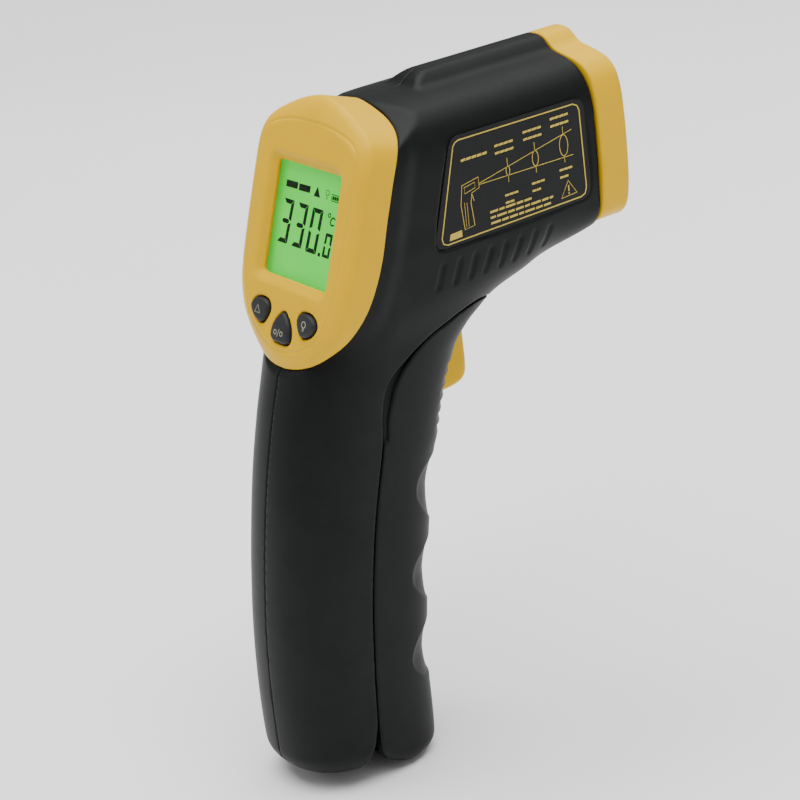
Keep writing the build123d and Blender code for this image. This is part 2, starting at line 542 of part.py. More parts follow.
# ------------------------------------------------------------ 9 V battery ---
batt = Solid.make_box(BATT_X, BATT_Y, BATT_Z).moved(Location((-BATT_X / 2, -BATT_Y / 2, -BATT_Z / 2)))
be = [e for e in batt.edges() if abs(abs(e.center().X) - BATT_X / 2) < 0.1 and abs(abs(e.center().Y) - BATT_Y / 2) < 0.1]
batt = try_fillet(batt, be, [2.0, 1.0], "9")
keep("battery_9v", solid_of(batt).moved(batt_loc))
t1 = Solid.make_cylinder(2.9, 1.9).moved(Location((-6.35, 0, BATT_Z / 2))).moved(batt_loc)
t2 = Solid.make_cylinder(3.9, 1.9).moved(Location((6.35, 0, BATT_Z / 2))).moved(batt_loc)
keep("battery_terminals", t1 + t2)
cap = Solid.make_box(24.0, 12.0, 3.0).moved(Location((-12.0, -6.0, BATT_Z / 2 + 1.95)))
ce = [e for e in cap.edges() if abs(abs(e.center().X) - 12) < 0.1 and abs(abs(e.center().Y) - 6) < 0.1]
cap = solid_of(try_fillet(cap, ce, [4.0, 3.0], "10")).moved(batt_loc)
keep("battery_snap", cap)


# ---------------------------------------------------------------- leads -----
def lead(points, radius, radii):
    path = FilletPolyline(*[Vector(*p) for p in points], radius=radii)
    wire = path.wire() if hasattr(path, "wire") else path
    start = wire @ 0
    prof = Face(Wire.make_circle(radius, Plane(origin=start, z_dir=wire % 0)))
    tube = Solid.sweep(prof, wire)
    print("lead", round(wire.length, 2), "mm, volume ratio", round(tube.volume / (wire.length * math.pi * radius ** 2), 3),
          "radii", radii)
    return tube


zt = BATT_Z / 2 + 4.95
ct, st = math.cos(math.radians(-BATT_TILT)), math.sin(math.radians(-BATT_TILT))


def batt_point(x, y, z):
    return (BATT_C[0] + x, BATT_C[1] + y * ct - z * st, BATT_C[2] + y * st + z * ct)


def face_point(x, y, z):
    return (x, y * S - z * C, y * C + z * S)


for nm, sx in (("lead_red", 1), ("lead_black", -1)):
    p0 = batt_point(sx * 4.0, -2.0, zt)
    p3 = face_point(sx * 5.0, -24.5, -9.0)
    p2 = face_point(sx * 5.0, -24.5, -12.0)
    p1 = (sx * 5.0, -5.0, -43.0)
    keep(nm, lead([p0, batt_point(sx * 4.0, -2.0, zt + 5.5), p1, p2, p3], 0.65, [6.0, 6.0, 1.8]))

laser_leads = None
for sx in (1, -1):
    p3 = face_point(sx * 1.6, 15.0, -9.0)
    p2 = face_point(sx * 1.6, 15.0, -13.0)
    l = lead([(sx * 1.2, 53.0, LASER_Z), (sx * 1.2, 44.0, LASER_Z), (sx * 1.4, 30.0, 18.0), p2, p3], 0.5, [14.0, 14.0, 2.0])
    laser_leads = l if laser_leads is None else laser_leads + l
keep("laser_leads", laser_leads)

sensor_leads = None
for k in range(4):
    x = -2.4 + 1.6 * k
    p3 = face_point(x, -4.6, -9.0)
    p2 = face_point(x, -4.6, -12.5)
    l = lead([(x, 35.0, 0.0), (x, 29.0, 0.0), (x, 20.0, -5.0), p2, p3], 0.45, [8.0, 7.0, 2.0])
    sensor_leads = l if sensor_leads is None else sensor_leads + l
keep("sensor_leads", sensor_leads)

# ------------------------------------------------------- screws and labels --
hs = None
for y, z, seat, tip in SCREWS:
    s = cyl_x(SCREW_R, y, z, seat, tip) + cyl_x(2.7, y, z, seat - 2.0, seat)
    s = s - box(seat - 2.2, seat - 1.0, y - 1.7, y + 1.7, z - 0.4, z + 0.4) - box(seat - 2.2, seat - 1.0, y - 0.4, y + 0.4, z - 1.7, z + 1.7)
    hs = s if hs is None else hs + s
keep("housing_screws", hs)

lab = inset(LABEL, 0.15)
keep("label_right", yz_prism(lab, LABEL_FLOOR, LABEL_FLOOR + 0.25))
keep("label_left", yz_prism(lab, -LABEL_FLOOR - 0.25, -LABEL_FLOOR))

# ------------------------------------------------------------------ write ---
for name, shape in NODES.items():
    s = shape.moved(Location((0, -GRIP_MID_Y, -GRIP_MID_Z)))
    if not isinstance(s, (Compound, Solid)):
        s = Compound(children=list(s.solids()))
    export_step(s, "parts/" + name + ".step")
print(len(NODES), "nodes")
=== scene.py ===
import math

import bpy
import numpy as np
from mathutils import Matrix, Vector


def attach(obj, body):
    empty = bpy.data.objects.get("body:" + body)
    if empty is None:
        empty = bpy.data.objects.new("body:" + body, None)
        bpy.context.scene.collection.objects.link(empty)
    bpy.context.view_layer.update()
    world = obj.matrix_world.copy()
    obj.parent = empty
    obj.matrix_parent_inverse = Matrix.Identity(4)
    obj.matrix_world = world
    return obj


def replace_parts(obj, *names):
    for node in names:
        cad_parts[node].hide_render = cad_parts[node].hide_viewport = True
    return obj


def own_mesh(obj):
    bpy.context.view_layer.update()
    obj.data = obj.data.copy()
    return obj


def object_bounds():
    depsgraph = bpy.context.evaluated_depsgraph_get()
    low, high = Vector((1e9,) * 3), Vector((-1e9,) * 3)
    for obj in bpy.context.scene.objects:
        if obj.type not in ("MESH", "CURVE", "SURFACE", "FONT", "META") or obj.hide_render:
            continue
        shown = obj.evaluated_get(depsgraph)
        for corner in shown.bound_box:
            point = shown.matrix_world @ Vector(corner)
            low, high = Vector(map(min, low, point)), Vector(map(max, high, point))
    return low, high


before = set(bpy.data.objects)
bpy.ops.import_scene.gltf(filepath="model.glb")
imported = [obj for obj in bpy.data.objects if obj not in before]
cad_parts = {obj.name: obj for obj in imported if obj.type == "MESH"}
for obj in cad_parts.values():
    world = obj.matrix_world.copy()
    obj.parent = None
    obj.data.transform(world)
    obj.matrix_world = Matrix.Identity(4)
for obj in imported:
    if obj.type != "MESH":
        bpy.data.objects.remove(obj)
CAD_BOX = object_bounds()

# Lengths below are millimetres from the centre of the display, turned into
# the shared frame (metres, origin in the middle of the grip) at the end.
OY, OZ = 4.0, 80.0
TILT = math.radians(18.0)
S, C = math.sin(TILT), math.cos(TILT)


def row(v):
    v = np.asarray(v, dtype=np.float64)
    out = v.copy()
    out[..., 1] += OY
    out[..., 2] += OZ
    return out / 1000.0


def face_to(v):
    # display-face coordinates (x, up the face, outwards) to the frame above
    v = np.asarray(v, dtype=np.float64)
    return np.stack([v[..., 0], v[..., 1] * S - v[..., 2] * C, v[..., 1] * C + v[..., 2] * S], -1)


# ------------------------------------------------------------ field tools --
def mirror_pts(half):
    return list(half) + [(-x, z) for x, z in reversed(half) if x > 1e-6]


def inset(pts, d):
    n = len(pts)
    area = sum(pts[i][0] * pts[(i + 1) % n][1] - pts[(i + 1) % n][0] * pts[i][1] for i in range(n))
    sgn = 1.0 if area > 0 else -1.0
    out = []
    for i in range(n):
        ax, ay = pts[i - 1]
        bx, by = pts[i]
        cx, cy = pts[(i + 1) % n]
        tx, ty = cx - ax, cy - ay
        l = math.hypot(tx, ty)
        out.append((bx - sgn * ty / l * d, by + sgn * tx / l * d))
    return out


def smooth_closed(pts, per=8):
    # closed Catmull-Rom curve through the points
    p = np.array(pts, float)
    n = len(p)
    out = []
    for i in range(n):
        p0, p1, p2, p3 = p[i - 1], p[i], p[(i + 1) % n], p[(i + 2) % n]
        d0 = max(np.linalg.norm(p1 - p0), 1e-6) ** 0.5
        d1 = max(np.linalg.norm(p2 - p1), 1e-6) ** 0.5
        d2 = max(np.linalg.norm(p3 - p2), 1e-6) ** 0.5
        t0, t1 = 0.0, d0
        t2 = t1 + d1
        t3 = t2 + d2
        for t in np.linspace(t1, t2, per, endpoint=False):
            a1 = (t1 - t) / (t1 - t0) * p0 + (t - t0) / (t1 - t0) * p1
            a2 = (t2 - t) / (t2 - t1) * p1 + (t - t1) / (t2 - t1) * p2
            a3 = (t3 - t) / (t3 - t2) * p2 + (t - t2) / (t3 - t2) * p3
            b1 = (t2 - t) / (t2 - t0) * a1 + (t - t0) / (t2 - t0) * a2
            b2 = (t3 - t) / (t3 - t1) * a2 + (t - t1) / (t3 - t1) * a3
            out.append((t2 - t) / (t2 - t1) * b1 + (t - t1) / (t2 - t1) * b2)
    return [tuple(q) for q in out]


def smooth_open(pts, per=8):
    a = np.array(pts, float)
    ext = [tuple(2 * a[0] - a[1])] + [tuple(q) for q in a] + [tuple(2 * a[-1] - a[-2])]
    full = smooth_closed(ext, per)
    return full[per:per * (len(ext) - 2) + 1]


class Flat:
    """Signed distance to a closed outline, sampled on a fine grid."""

    def __init__(self, pts, h=0.25, pad=6.0, box=None):
        p = np.array(pts, float)
        if box is None:
            lo, hi = p.min(0) - pad, p.max(0) + pad
        else:
            lo, hi = np.array(box[0], float), np.array(box[1], float)
        self.lo, self.h = lo, h
        n = np.ceil((hi - lo) / h).astype(int) + 1
        gx = lo[0] + h * np.arange(n[0])
        gy = lo[1] + h * np.arange(n[1])
        X, Y = np.meshgrid(gx, gy, indexing="ij")
        d = np.full(X.shape, 1e9)
        inside = np.zeros(X.shape, bool)
        q = np.roll(p, -1, axis=0)
        for (x0, y0), (x1, y1) in zip(p, q):
            ex, ey = x1 - x0, y1 - y0
            l2 = ex * ex + ey * ey
            if l2 < 1e-12:
                continue
            t = np.clip(((X - x0) * ex + (Y - y0) * ey) / l2, 0, 1)
            d = np.minimum(d, (X - x0 - t * ex) ** 2 + (Y - y0 - t * ey) ** 2)
            if y0 != y1:
                c = (y0 > Y) != (y1 > Y)
                inside ^= c & (X < (x1 - x0) * (Y - y0) / (y1 - y0) + x0)
        d = np.sqrt(d)
        self.v = np.where(inside, -d, d).astype(np.float32)

    def __call__(self, a, b):
        fa = (a - self.lo[0]) / self.h
        fb = (b - self.lo[1]) / self.h
        na, nb = self.v.shape
        fa = np.clip(fa, 0, na - 1.001)
        fb = np.clip(fb, 0, nb - 1.001)
        fa, fb = np.broadcast_arrays(fa, fb)
        i = fa.astype(np.int32)
        j = fb.astype(np.int32)
        u = (fa - i).astype(np.float32)
        w = (fb - j).astype(np.float32)
        v = self.v
        return (v[i, j] * (1 - u) * (1 - w) + v[i + 1, j] * u * (1 - w)
                + v[i, j + 1] * (1 - u) * w + v[i + 1, j + 1] * u * w)


def cut_round(a, b, r):
    # intersection of two fields with a rounded edge
    u = np.maximum(a + r, 0)
    v = np.maximum(b + r, 0)
    return np.minimum(np.maximum(a, b), -r) + np.sqrt(u * u + v * v)


def join_smooth(a, b, k):
    h = np.maximum(k - np.abs(a - b), 0) / k
    return np.minimum(a, b) - h * h * h * k / 6.0


def step(a, b, v):
    t = np.clip((v - a) / (b - a), 0, 1)
    return t * t * (3 - 2 * t)


def boxf(a, lo, hi):
    return np.maximum(lo - a, a - hi)


def net(F, lo, hi, h, project=2):
    """Closed quad mesh on the zero surface of F (surface nets), with the points moved onto the surface."""
    lo = np.array(lo, float)
    n = np.ceil((np.array(hi, float) - lo) / h).astype(int) + 1
    X = (lo[0] + h * np.arange(n[0])).astype(np.float32)[:, None, None]
    Y = (lo[1] + h * np.arange(n[1])).astype(np.float32)[None, :, None]
    Z = (lo[2] + h * np.arange(n[2])).astype(np.float32)[None, None, :]
    f = np.broadcast_to(F(X, Y, Z), tuple(n)).astype(np.float32)
    s = f < 0
    c = np.zeros(tuple(n - 1), np.int8)
    for a in (0, 1):
        for b in (0, 1):
            for d in (0, 1):
                c += s[a:n[0] - 1 + a, b:n[1] - 1 + b, d:n[2] - 1 + d]
    act = (c > 0) & (c < 8)
    ii, jj, kk = np.nonzero(act)
    idx = np.full(act.shape, -1, np.int32)
    idx[ii, jj, kk] = np.arange(len(ii))
    acc = np.zeros((len(ii), 3))
    cnt = np.zeros(len(ii))
    for axis in range(3):
        for a in (0, 1):
            for b in (0, 1):
                o0 = [0, 0, 0]
                others = [q for q in range(3) if q != axis]
                o0[others[0]], o0[others[1]] = a, b
                o1 = list(o0)
                o1[axis] = 1
                f0 = f[ii + o0[0], jj + o0[1], kk + o0[2]]
                f1 = f[ii + o1[0], jj + o1[1], kk + o1[2]]
                m = (f0 < 0) != (f1 < 0)
                t = np.where(m, f0 / np.where(f0 == f1, 1, f0 - f1), 0)
                p = np.array(o0, float)[None, :].repeat(len(ii), 0)
                p[:, axis] += t
                acc += p * m[:, None]
                cnt += m
    v = np.stack([ii, jj, kk], -1) + acc / np.maximum(cnt, 1)[:, None]
    v = lo + v * h
    cell0 = v.copy()
    for _ in range(project):
        e = h * 0.35
        x, y, z = v[:, 0], v[:, 1], v[:, 2]
        f0 = F(x, y, z)
        g = np.stack([F(x + e, y, z) - F(x - e, y, z), F(x, y + e, z) - F(x, y - e, z),
                      F(x, y, z + e) - F(x, y, z - e)], -1) / (2 * e)
        l2 = np.maximum((g * g).sum(-1), 0.15)
        st = -(f0 / l2)[:, None] * g
        ln = np.linalg.norm(st, axis=-1, keepdims=True)
        st *= np.minimum(1, 0.5 * h / np.maximum(ln, 1e-9))
        v = v + st
    v = cell0 + np.clip(v - cell0, -0.75 * h, 0.75 * h)
    faces = []
    for axis in range(3):
        o = [q for q in range(3) if q != axis]
        sl0 = [slice(None)] * 3
        sl1 = [slice(None)] * 3
        sl0[axis] = slice(0, -1)
        sl1[axis] = slice(1, None)
        e = s[tuple(sl0)] != s[tuple(sl1)]
        sol = s[tuple(sl0)]
        g = np.nonzero(e)
        g = [q.astype(np.int64) for q in g]
        ok = (g[o[0]] > 0) & (g[o[1]] > 0) & (g[o[0]] < n[o[0]] - 1) & (g[o[1]] < n[o[1]] - 1)
        g = [q[ok] for q in g]
        inside0 = sol[g[0], g[1], g[2]]
        quad = []
        for da, db in ((-1, -1), (0, -1), (0, 0), (-1, 0)):
            w = [q.copy() for q in g]
            w[o[0]] = w[o[0]] + da
            w[o[1]] = w[o[1]] + db
            quad.append(idx[w[0], w[1], w[2]])
        q = np.stack(quad, -1)
        flip = inside0 if axis != 1 else ~inside0
        q[~flip] = q[~flip][:, ::-1]
        faces.append(q)
    faces = np.concatenate(faces)
    return v, faces


def make_mesh(name, v_row, faces, body, mat, smooth=True):
    me = bpy.data.meshes.new(name)
    me.vertices.add(len(v_row))
    me.vertices.foreach_set("co", np.asarray(v_row, np.float32).ravel())
    faces = np.asarray(faces, np.int32)
    k = faces.shape[1]
    me.loops.add(faces.size)
    me.loops.foreach_set("vertex_index", faces.ravel())
    me.polygons.add(len(faces))
    me.polygons.foreach_set("loop_start", np.arange(0, faces.size, k, dtype=np.int32))
    me.polygons.foreach_set("loop_total", np.full(len(faces), k, np.int32))
    me.update(calc_edges=True)
    me.validate()
    ob = bpy.data.objects.new(name, me)
    bpy.context.scene.collection.objects.link(ob)
    if smooth:
        me.polygons.foreach_set("use_smooth", np.ones(len(faces), bool))
    me.materials.append(mat)
    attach(ob, body)
    return ob


# --------------------------------------------------------------- materials --
def new_mat(name):
    m = bpy.data.materials.new(name)
    m.use_nodes = True
    nt = m.node_tree
    for n in list(nt.nodes):
        nt.nodes.remove(n)
    out = nt.nodes.new("ShaderNodeOutputMaterial")
    b = nt.nodes.new("ShaderNodeBsdfPrincipled")
    nt.links.new(b.outputs["BSDF"], out.inputs["Surface"])
    return m, nt, b


def moulded(name, low, high, rough, bump=0.25, grain=9000.0, mottle=160.0, coat=0.0, coat_rough=0.2, sheen=0.0,
            spread=0.05, metallic=0.0, spec=0.5, blotch=18.0, trans=0.0, ior=1.46, distance=0.00004):
    """Procedural moulded surface: colour drifts between two tones, fine grain in bump and roughness."""
    m, nt, b = new_mat(name)
    tc = nt.nodes.new("ShaderNodeTexCoord")
    n1 = nt.nodes.new("ShaderNodeTexNoise")
    n1.inputs["Scale"].default_value = mottle
    n1.inputs["Detail"].default_value = 5.0
    n2 = nt.nodes.new("ShaderNodeTexNoise")
    n2.inputs["Scale"].default_value = blotch
    n2.inputs["Detail"].default_value = 3.0
    gr = nt.nodes.new("ShaderNodeTexNoise")
    gr.inputs["Scale"].default_value = grain
    gr.inputs["Detail"].default_value = 2.0
    for n in (n1, n2, gr):
        nt.links.new(tc.outputs["Object"], n.inputs["Vector"])
    mix = nt.nodes.new("ShaderNodeMath")
    mix.operation = "MULTIPLY"
    nt.links.new(n1.outputs["Fac"], mix.inputs[0])
    nt.links.new(n2.outputs["Fac"], mix.inputs[1])
    ramp = nt.nodes.new("ShaderNodeValToRGB")
    ramp.color_ramp.elements[0].position = 0.15
    ramp.color_ramp.elements[1].position = 0.4
    ramp.color_ramp.elements[0].color = (*low, 1)
    ramp.color_ramp.elements[1].color = (*high, 1)
    nt.links.new(mix.outputs[0], ramp.inputs["Fac"])
    nt.links.new(ramp.outputs["Color"], b.inputs["Base Color"])
    rr = nt.nodes.new("ShaderNodeMapRange")
    rr.inputs["From Min"].default_value = 0.3
    rr.inputs["From Max"].default_value = 0.7
    rr.inputs["To Min"].default_value = rough - spread
    rr.inputs["To Max"].default_value = rough + spread
    nt.links.new(gr.outputs["Fac"], rr.inputs["Value"])
    nt.links.new(rr.outputs["Result"], b.inputs["Roughness"])
    bp = nt.nodes.new("ShaderNodeBump")
    bp.inputs["Strength"].default_value = bump
    bp.inputs["Distance"].default_value = distance
    nt.links.new(gr.outputs["Fac"], bp.inputs["Height"])
    nt.links.new(bp.outputs["Normal"], b.inputs["Normal"])
    b.inputs["Metallic"].default_value = metallic
    b.inputs["Specular IOR Level"].default_value = spec
    b.inputs["IOR"].default_value = ior
    b.inputs["Coat Weight"].default_value = coat
    b.inputs["Coat Roughness"].default_value = coat_rough
    b.inputs["Sheen Weight"].default_value = sheen
    b.inputs["Transmission Weight"].default_value = trans
    return m


def glowing(name, dark, light, strength, scale=90.0):
    m, nt, b = new_mat(name)
    tc = nt.nodes.new("ShaderNodeTexCoord")
    n = nt.nodes.new("ShaderNodeTexNoise")
    n.inputs["Scale"].default_value = scale
    n.inputs["Detail"].default_value = 1.0
    nt.links.new(tc.outputs["Object"], n.inputs["Vector"])
    r = nt.nodes.new("ShaderNodeValToRGB")
    r.color_ramp.elements[0].position = 0.25
    r.color_ramp.elements[1].position = 0.75
    r.color_ramp.elements[0].color = (*dark, 1)
    r.color_ramp.elements[1].color = (*light, 1)
    nt.links.new(n.outputs["Fac"], r.inputs["Fac"])
    nt.links.new(r.outputs["Color"], b.inputs["Base Color"])
    nt.links.new(r.outputs["Color"], b.inputs["Emission Color"])
    b.inputs["Emission Strength"].default_value = strength
    b.inputs["Roughness"].default_value = 0.35
    return m


BLACK = moulded("soft_touch_black", (0.0050, 0.0056, 0.0058), (0.0075, 0.0083, 0.0085), 0.46, bump=0.3, grain=7000, sheen=0.0, spec=0.14)
YELLOW = moulded("yellow_abs", (0.66, 0.385, 0.0), (0.70, 0.41, 0.0), 0.30, bump=0.06, grain=5000, coat=0.0, spec=0.1)
KEY = moulded("key_rubber", (0.012, 0.0125, 0.0135), (0.018, 0.0185, 0.02), 0.55, bump=0.4, grain=8000, spec=0.3)
SATIN = moulded("satin_black", (0.008, 0.008, 0.009), (0.014, 0.014, 0.015), 0.4, bump=0.3, grain=6000)
GREYP = moulded("grey_plastic", (0.10, 0.10, 0.105), (0.15, 0.15, 0.155), 0.5)
BOARD = moulded("solder_mask", (0.006, 0.06, 0.022), (0.012, 0.10, 0.035), 0.3, grain=4000)
CHIP = moulded("chip_black", (0.012, 0.012, 0.013), (0.03, 0.03, 0.03), 0.55)
GOLD = moulded("gold_plate", (0.75, 0.50, 0.16), (0.9, 0.62, 0.22), 0.25, metallic=1.0)
BRASS = moulded("turned_brass", (0.66, 0.42, 0.14), (0.8, 0.55, 0.22), 0.28, metallic=1.0)
STEEL = moulded("zinc_steel", (0.16, 0.16, 0.16), (0.24, 0.24, 0.235), 0.32, metallic=1.0)
SPRING = moulded("spring_wire", (0.42, 0.42, 0.42), (0.6, 0.6, 0.58), 0.25, metallic=1.0)
LENSM = moulded("coated_lens", (0.10, 0.075, 0.06), (0.17, 0.13, 0.11), 0.07, bump=0.02, coat=0.8, coat_rough=0.03, spec=0.8, spread=0.01)
REDWIN = moulded("red_window", (0.35, 0.004, 0.004), (0.5, 0.01, 0.008), 0.08, coat=0.5, coat_rough=0.03, spread=0.01)
FOAM = moulded("closed_foam", (0.03, 0.03, 0.032), (0.06, 0.06, 0.063), 0.9, bump=0.9, grain=2500, distance=0.0003)
CELL = moulded("battery_wrap", (0.02, 0.02, 0.025), (0.035, 0.035, 0.042), 0.3, coat=0.4)
REDW = moulded("red_insulation", (0.5, 0.012, 0.01), (0.62, 0.02, 0.015), 0.4)
BLKW = moulded("black_insulation", (0.012, 0.012, 0.012), (0.02, 0.02, 0.02), 0.4)
ELAST = moulded("elastomer", (0.35, 0.27, 0.22), (0.45, 0.36, 0.3), 0.7)
GUIDE = moulded("light_guide", (0.7, 0.78, 0.66), (0.8, 0.86, 0.76), 0.25)
LABELM = moulded("label_film", (0.0065, 0.007, 0.0075), (0.0095, 0.0102, 0.0108), 0.45, bump=0.2, grain=6000, spec=0.18)
INK = moulded("yellow_ink", (0.50, 0.36, 0.04), (0.62, 0.46, 0.06), 0.5, bump=0.1)
MARK = moulded("key_mark", (0.30, 0.28, 0.22), (0.40, 0.37, 0.3), 0.5, bump=0.1)
SEG = moulded("lcd_segment", (0.001, 0.006, 0.002), (0.002, 0.010, 0.004), 0.5, bump=0.05, spec=0.1)
LCD = glowing("lcd_lit", (0.05, 0.62, 0.035), (0.07, 0.68, 0.05), 0.78)
CLEAR = moulded("clear_window", (0.94, 0.98, 0.95), (0.97, 1.0, 0.98), 0.03, bump=0.0, trans=1.0, ior=1.2, spread=0.01, spec=0.3)

NODE_MATS = {
    "display_window": CLEAR, "lcd_panel": LCD, "backlight": GUIDE, "lcd_holder": GREYP, "zebra_strips": ELAST,
    "main_board": BOARD, "board_screws": STEEL, "board_components": CHIP, "buzzer": SATIN, "key_contacts": GOLD,
    "nose_face": SATIN, "laser_window": REDWIN, "lens_tube": SATIN, "lens": LENSM, "lens_retainer": SATIN,
    "ir_sensor": STEEL, "sensor_board": BOARD, "laser_module": BRASS, "laser_lens": CLEAR, "laser_cradle": SATIN,
    "trigger_pin": STEEL, "switch_board": BOARD, "trigger_switch": CHIP, "spring_post": SATIN, "trigger_spring": SPRING,
    "battery_9v": CELL, "battery_terminals": STEEL, "battery_snap": SATIN, "lead_red": REDW, "lead_black": BLKW,
    "laser_leads": REDW, "sensor_leads": BLKW, "housing_screws": STEEL, "label_right": LABELM, "label_left": LABELM,
    "door_pad": FOAM, "button_left": KEY, "button_centre": KEY, "button_right": KEY,
    "key_pill_left": CHIP, "key_pill_centre": CHIP, "key_pill_right": CHIP, "housing_right": BLACK, "housing_left": BLACK,
    "battery_door": BLACK, "display_bezel": YELLOW, "nose_ring": YELLOW, "trigger": YELLOW,
}
for node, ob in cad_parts.items():
    o = ob if hasattr(ob, "data") else bpy.data.objects.get(node)
    if o is None:
        continue
    mat = NODE_MATS.get(node, GREYP)
    if not o.data.materials:
        o.data.materials.append(mat)
    for sl in o.material_slots:
        sl.material = mat

# ------------------------------------------------------------ body outline --
BARREL_HALF = [(0, 24.35), (4, 24.2), (8, 23.7), (11.5, 22.8), (14.4, 21.5), (16.6, 19.5), (18.1, 17.0), (18.9, 14.4),
               (19.3, 11), (19.45, 6), (19.5, 0), (19.4, -5), (19.1, -10), (18.8, -15), (18.4, -20), (18.0, -24), (17.6, -28),
               (17.3, -33)]
SEC = Flat(smooth_open(BARREL_HALF, 6) + [(17.3, -90.0), (-17.3, -90.0)] + [(-x, z) for x, z in reversed(smooth_open(BARREL_HALF, 6))][:-1],
           box=((-32, -70), (32, 36)))
UNDER = [(80.0, -13.4), (74.0, -15.2), (68.4, -17.0), (60.0, -20.2), (50.0, -24.2), (42.0, -26.2), (34.0, -27.8), (24.0, -29.6),
         (14.0, -31.6), (6.0, -31.6), (0.0, -28.0), (-6.0, -22.0), (-12.0, -15.0)]
SIDE = Flat(smooth_open(UNDER, 6) + [(-60, 0), (-60, 60), (100, 60), (100, -13.6)], box=((-40, -60), (95, 50)))
SPINE_HALF = [(0, 27.15), (1.6, 27.05), (3.0, 26.6), (4.2, 25.7), (5.4, 24.6), (7.0, 23.6), (8.6, 22.6), (8.6, 15.0), (0, 15.0)]
SPSEC = Flat(smooth_open(SPINE_HALF[:7], 6) + [(8.6, 15.0), (-8.6, 15.0)] + [(-x, z) for x, z in reversed(smooth_open(SPINE_HALF[:7], 6))][:-1],
             box=((-25, 10), (25, 36)))
RAMP = Flat([(27.6, 22.9), (29.2, 24.1), (31.2, 25.7), (33.4, 27.0), (35.2, 27.7), (100, 27.8), (100, 10), (27.6, 10)], box=((-40, 5), (95, 36)))

GT = np.array([(-8.0, -4.6, 43.5, 18.2), (-16.0, -6.8, 42.5, 18.0), (-21.0, -8.3, 41.4, 17.8), (-26.0, -10.0, 38.6, 17.5),
               (-29.0, -11.0, 34.6, 17.3), (-32.0, -11.9, 31.6, 17.2), (-36.0, -13.1, 29.2, 17.0), (-41.0, -14.7, 27.5, 16.9),
               (-47.0, -16.3, 25.5, 16.8), (-53.0, -17.8, 23.4, 16.7), (-59.0, -19.1, 21.0, 16.6), (-66.0, -20.4, 19.7, 16.5),
               (-71.0, -21.2, 18.9, 16.5), (-77.5, -22.2, 18.5, 16.5), (-84.0, -23.0, 16.1, 16.5), (-90.0, -23.7, 14.7, 16.5),
               (-95.0, -24.1, 14.5, 16.5), (-99.0, -24.4, 14.9, 16.5), (-104.0, -24.6, 13.4, 16.5), (-110.0, -24.8, 12.7, 16.5),
               (-114.5, -24.8, 13.1, 16.5), (-120.0, -24.7, 14.1, 16.5), (-127.0, -24.3, 13.8, 16.4), (-140.0, -23.4, 12.6, 16.3)])
ZT = np.arange(-145.0, 30.0, 0.5)


def table(col, sigma=2.2):
    z = GT[::-1, 0]
    v = np.interp(ZT, z, GT[::-1, col])
    k = np.exp(-0.5 * (np.arange(-12, 13) * 0.5 / sigma) ** 2)
    k /= k.sum()
    vp = np.concatenate([np.full(12, v[0]), v, np.full(12, v[-1])])
    return np.convolve(vp, k, "valid")


FRONT10 = [(-140.0, 11.8), (-130.2, 12.3), (-125.8, 12.7), (-120.0, 12.8), (-113.0, 12.75), (-104.0, 13.3), (-95.0, 14.4), (-85.0, 15.8),
           (-75.0, 17.45), (-66.0, 19.1), (-60.0, 20.3), (-57.4, 20.9), (-55.6, 21.6), (-53.9, 22.5), (-51.6, 23.2), (-49.3, 23.7),
           (-46.0, 24.9), (-44.1, 25.5), (-41.8, 26.2), (-38.7, 27.6), (-36.4, 28.7), (-34.0, 29.7), (-32.1, 31.2), (-30.5, 33.1),
           (-29.1, 34.6), (-27.8, 36.3), (-27.0, 38.0), (-16.0, 42.5), (-8.0, 43.5)]
YB, HW = table(1), table(3)
_k = np.exp(-0.5 * (np.arange(-8, 9) * 0.5 / 1.0) ** 2)
_y10 = np.interp(ZT, [p[0] for p in FRONT10], [p[1] for p in FRONT10])
Y10 = np.convolve(np.concatenate([np.full(8, _y10[0]), _y10, np.full(8, _y10[-1])]), _k / _k.sum(), "valid")
YF = (YB + 17.4) + (Y10 - YB - 17.4) / 0.932
"""Battery door seam and the display rim, as closed regions in the (y, z) plane."""
RIM = [(26.0, 30.5), (21.0, 26.8), (18.2, 24.6), (17.9, 23.2), (17.9, 21.9), (17.2, 20.3), (15.6, 18.9), (13.6, 17.2), (12.0, 14.9), (10.3, 11.2), (8.6, 6.2), (7.3, 2.2),
       (5.1, -5.4), (3.0, -10.6), (0.6, -15.4), (-3.4, -21.6), (-7.6, -26.9), (-11.7, -31.4), (-20.0, -40.0)]
RIMF = Flat(smooth_open(RIM, 6) + [(-60, -40), (-60, 60), (26, 60)], box=((-40, -60), (60, 50)))
SEAM = [(46.0, -27.6), (40.0, -25.6), (36.0, -24.3), (32.9, -24.0), (28.0, -24.7), (23.7, -25.9), (19.0, -27.3),
        (15.0, -29.1), (10.8, -31.4), (6.9, -34.0), (4.6, -37.6), (3.5, -42.2), (2.6, -49.0), (0.1, -59.5),
        (-1.9, -68.5), (-3.6, -78.0), (-5.0, -87.5), (-6.0, -97.3), (-6.8, -107.4), (-7.3, -116.0)]
CUT_END = [(-7.9, -118.5), (-8.5, -121.0), (-8.9, -121.9), (-9.8, -123.6), (-10.8, -126.2), (-11.6, -129.0), (-12.2, -132), (-12.2, -150)]
DOOR_END = [(-6.9, -118.5), (-6.95, -122.6), (-6.2, -124.6), (-5.2, -126.2), (-3.9, -128.0), (-2.0, -129.8), (0.0, -131.2), (0.0, -150)]


def shifted(curve, d):
    out = []
    for i, (y, z) in enumerate(curve):
        a = curve[max(i - 1, 0)]
        b = curve[min(i + 1, len(curve) - 1)]
        ty, tz = b[0] - a[0], b[1] - a[1]
        l = math.hypot(ty, tz)
        out.append((y + tz / l * d, z - ty / l * d))
    return out


def door_outline(d, end):
    c = smooth_open(shifted(SEAM, -d) + end[:1], 6) + end[1:]
    return c + [(60, -150), (60, c[0][1])]


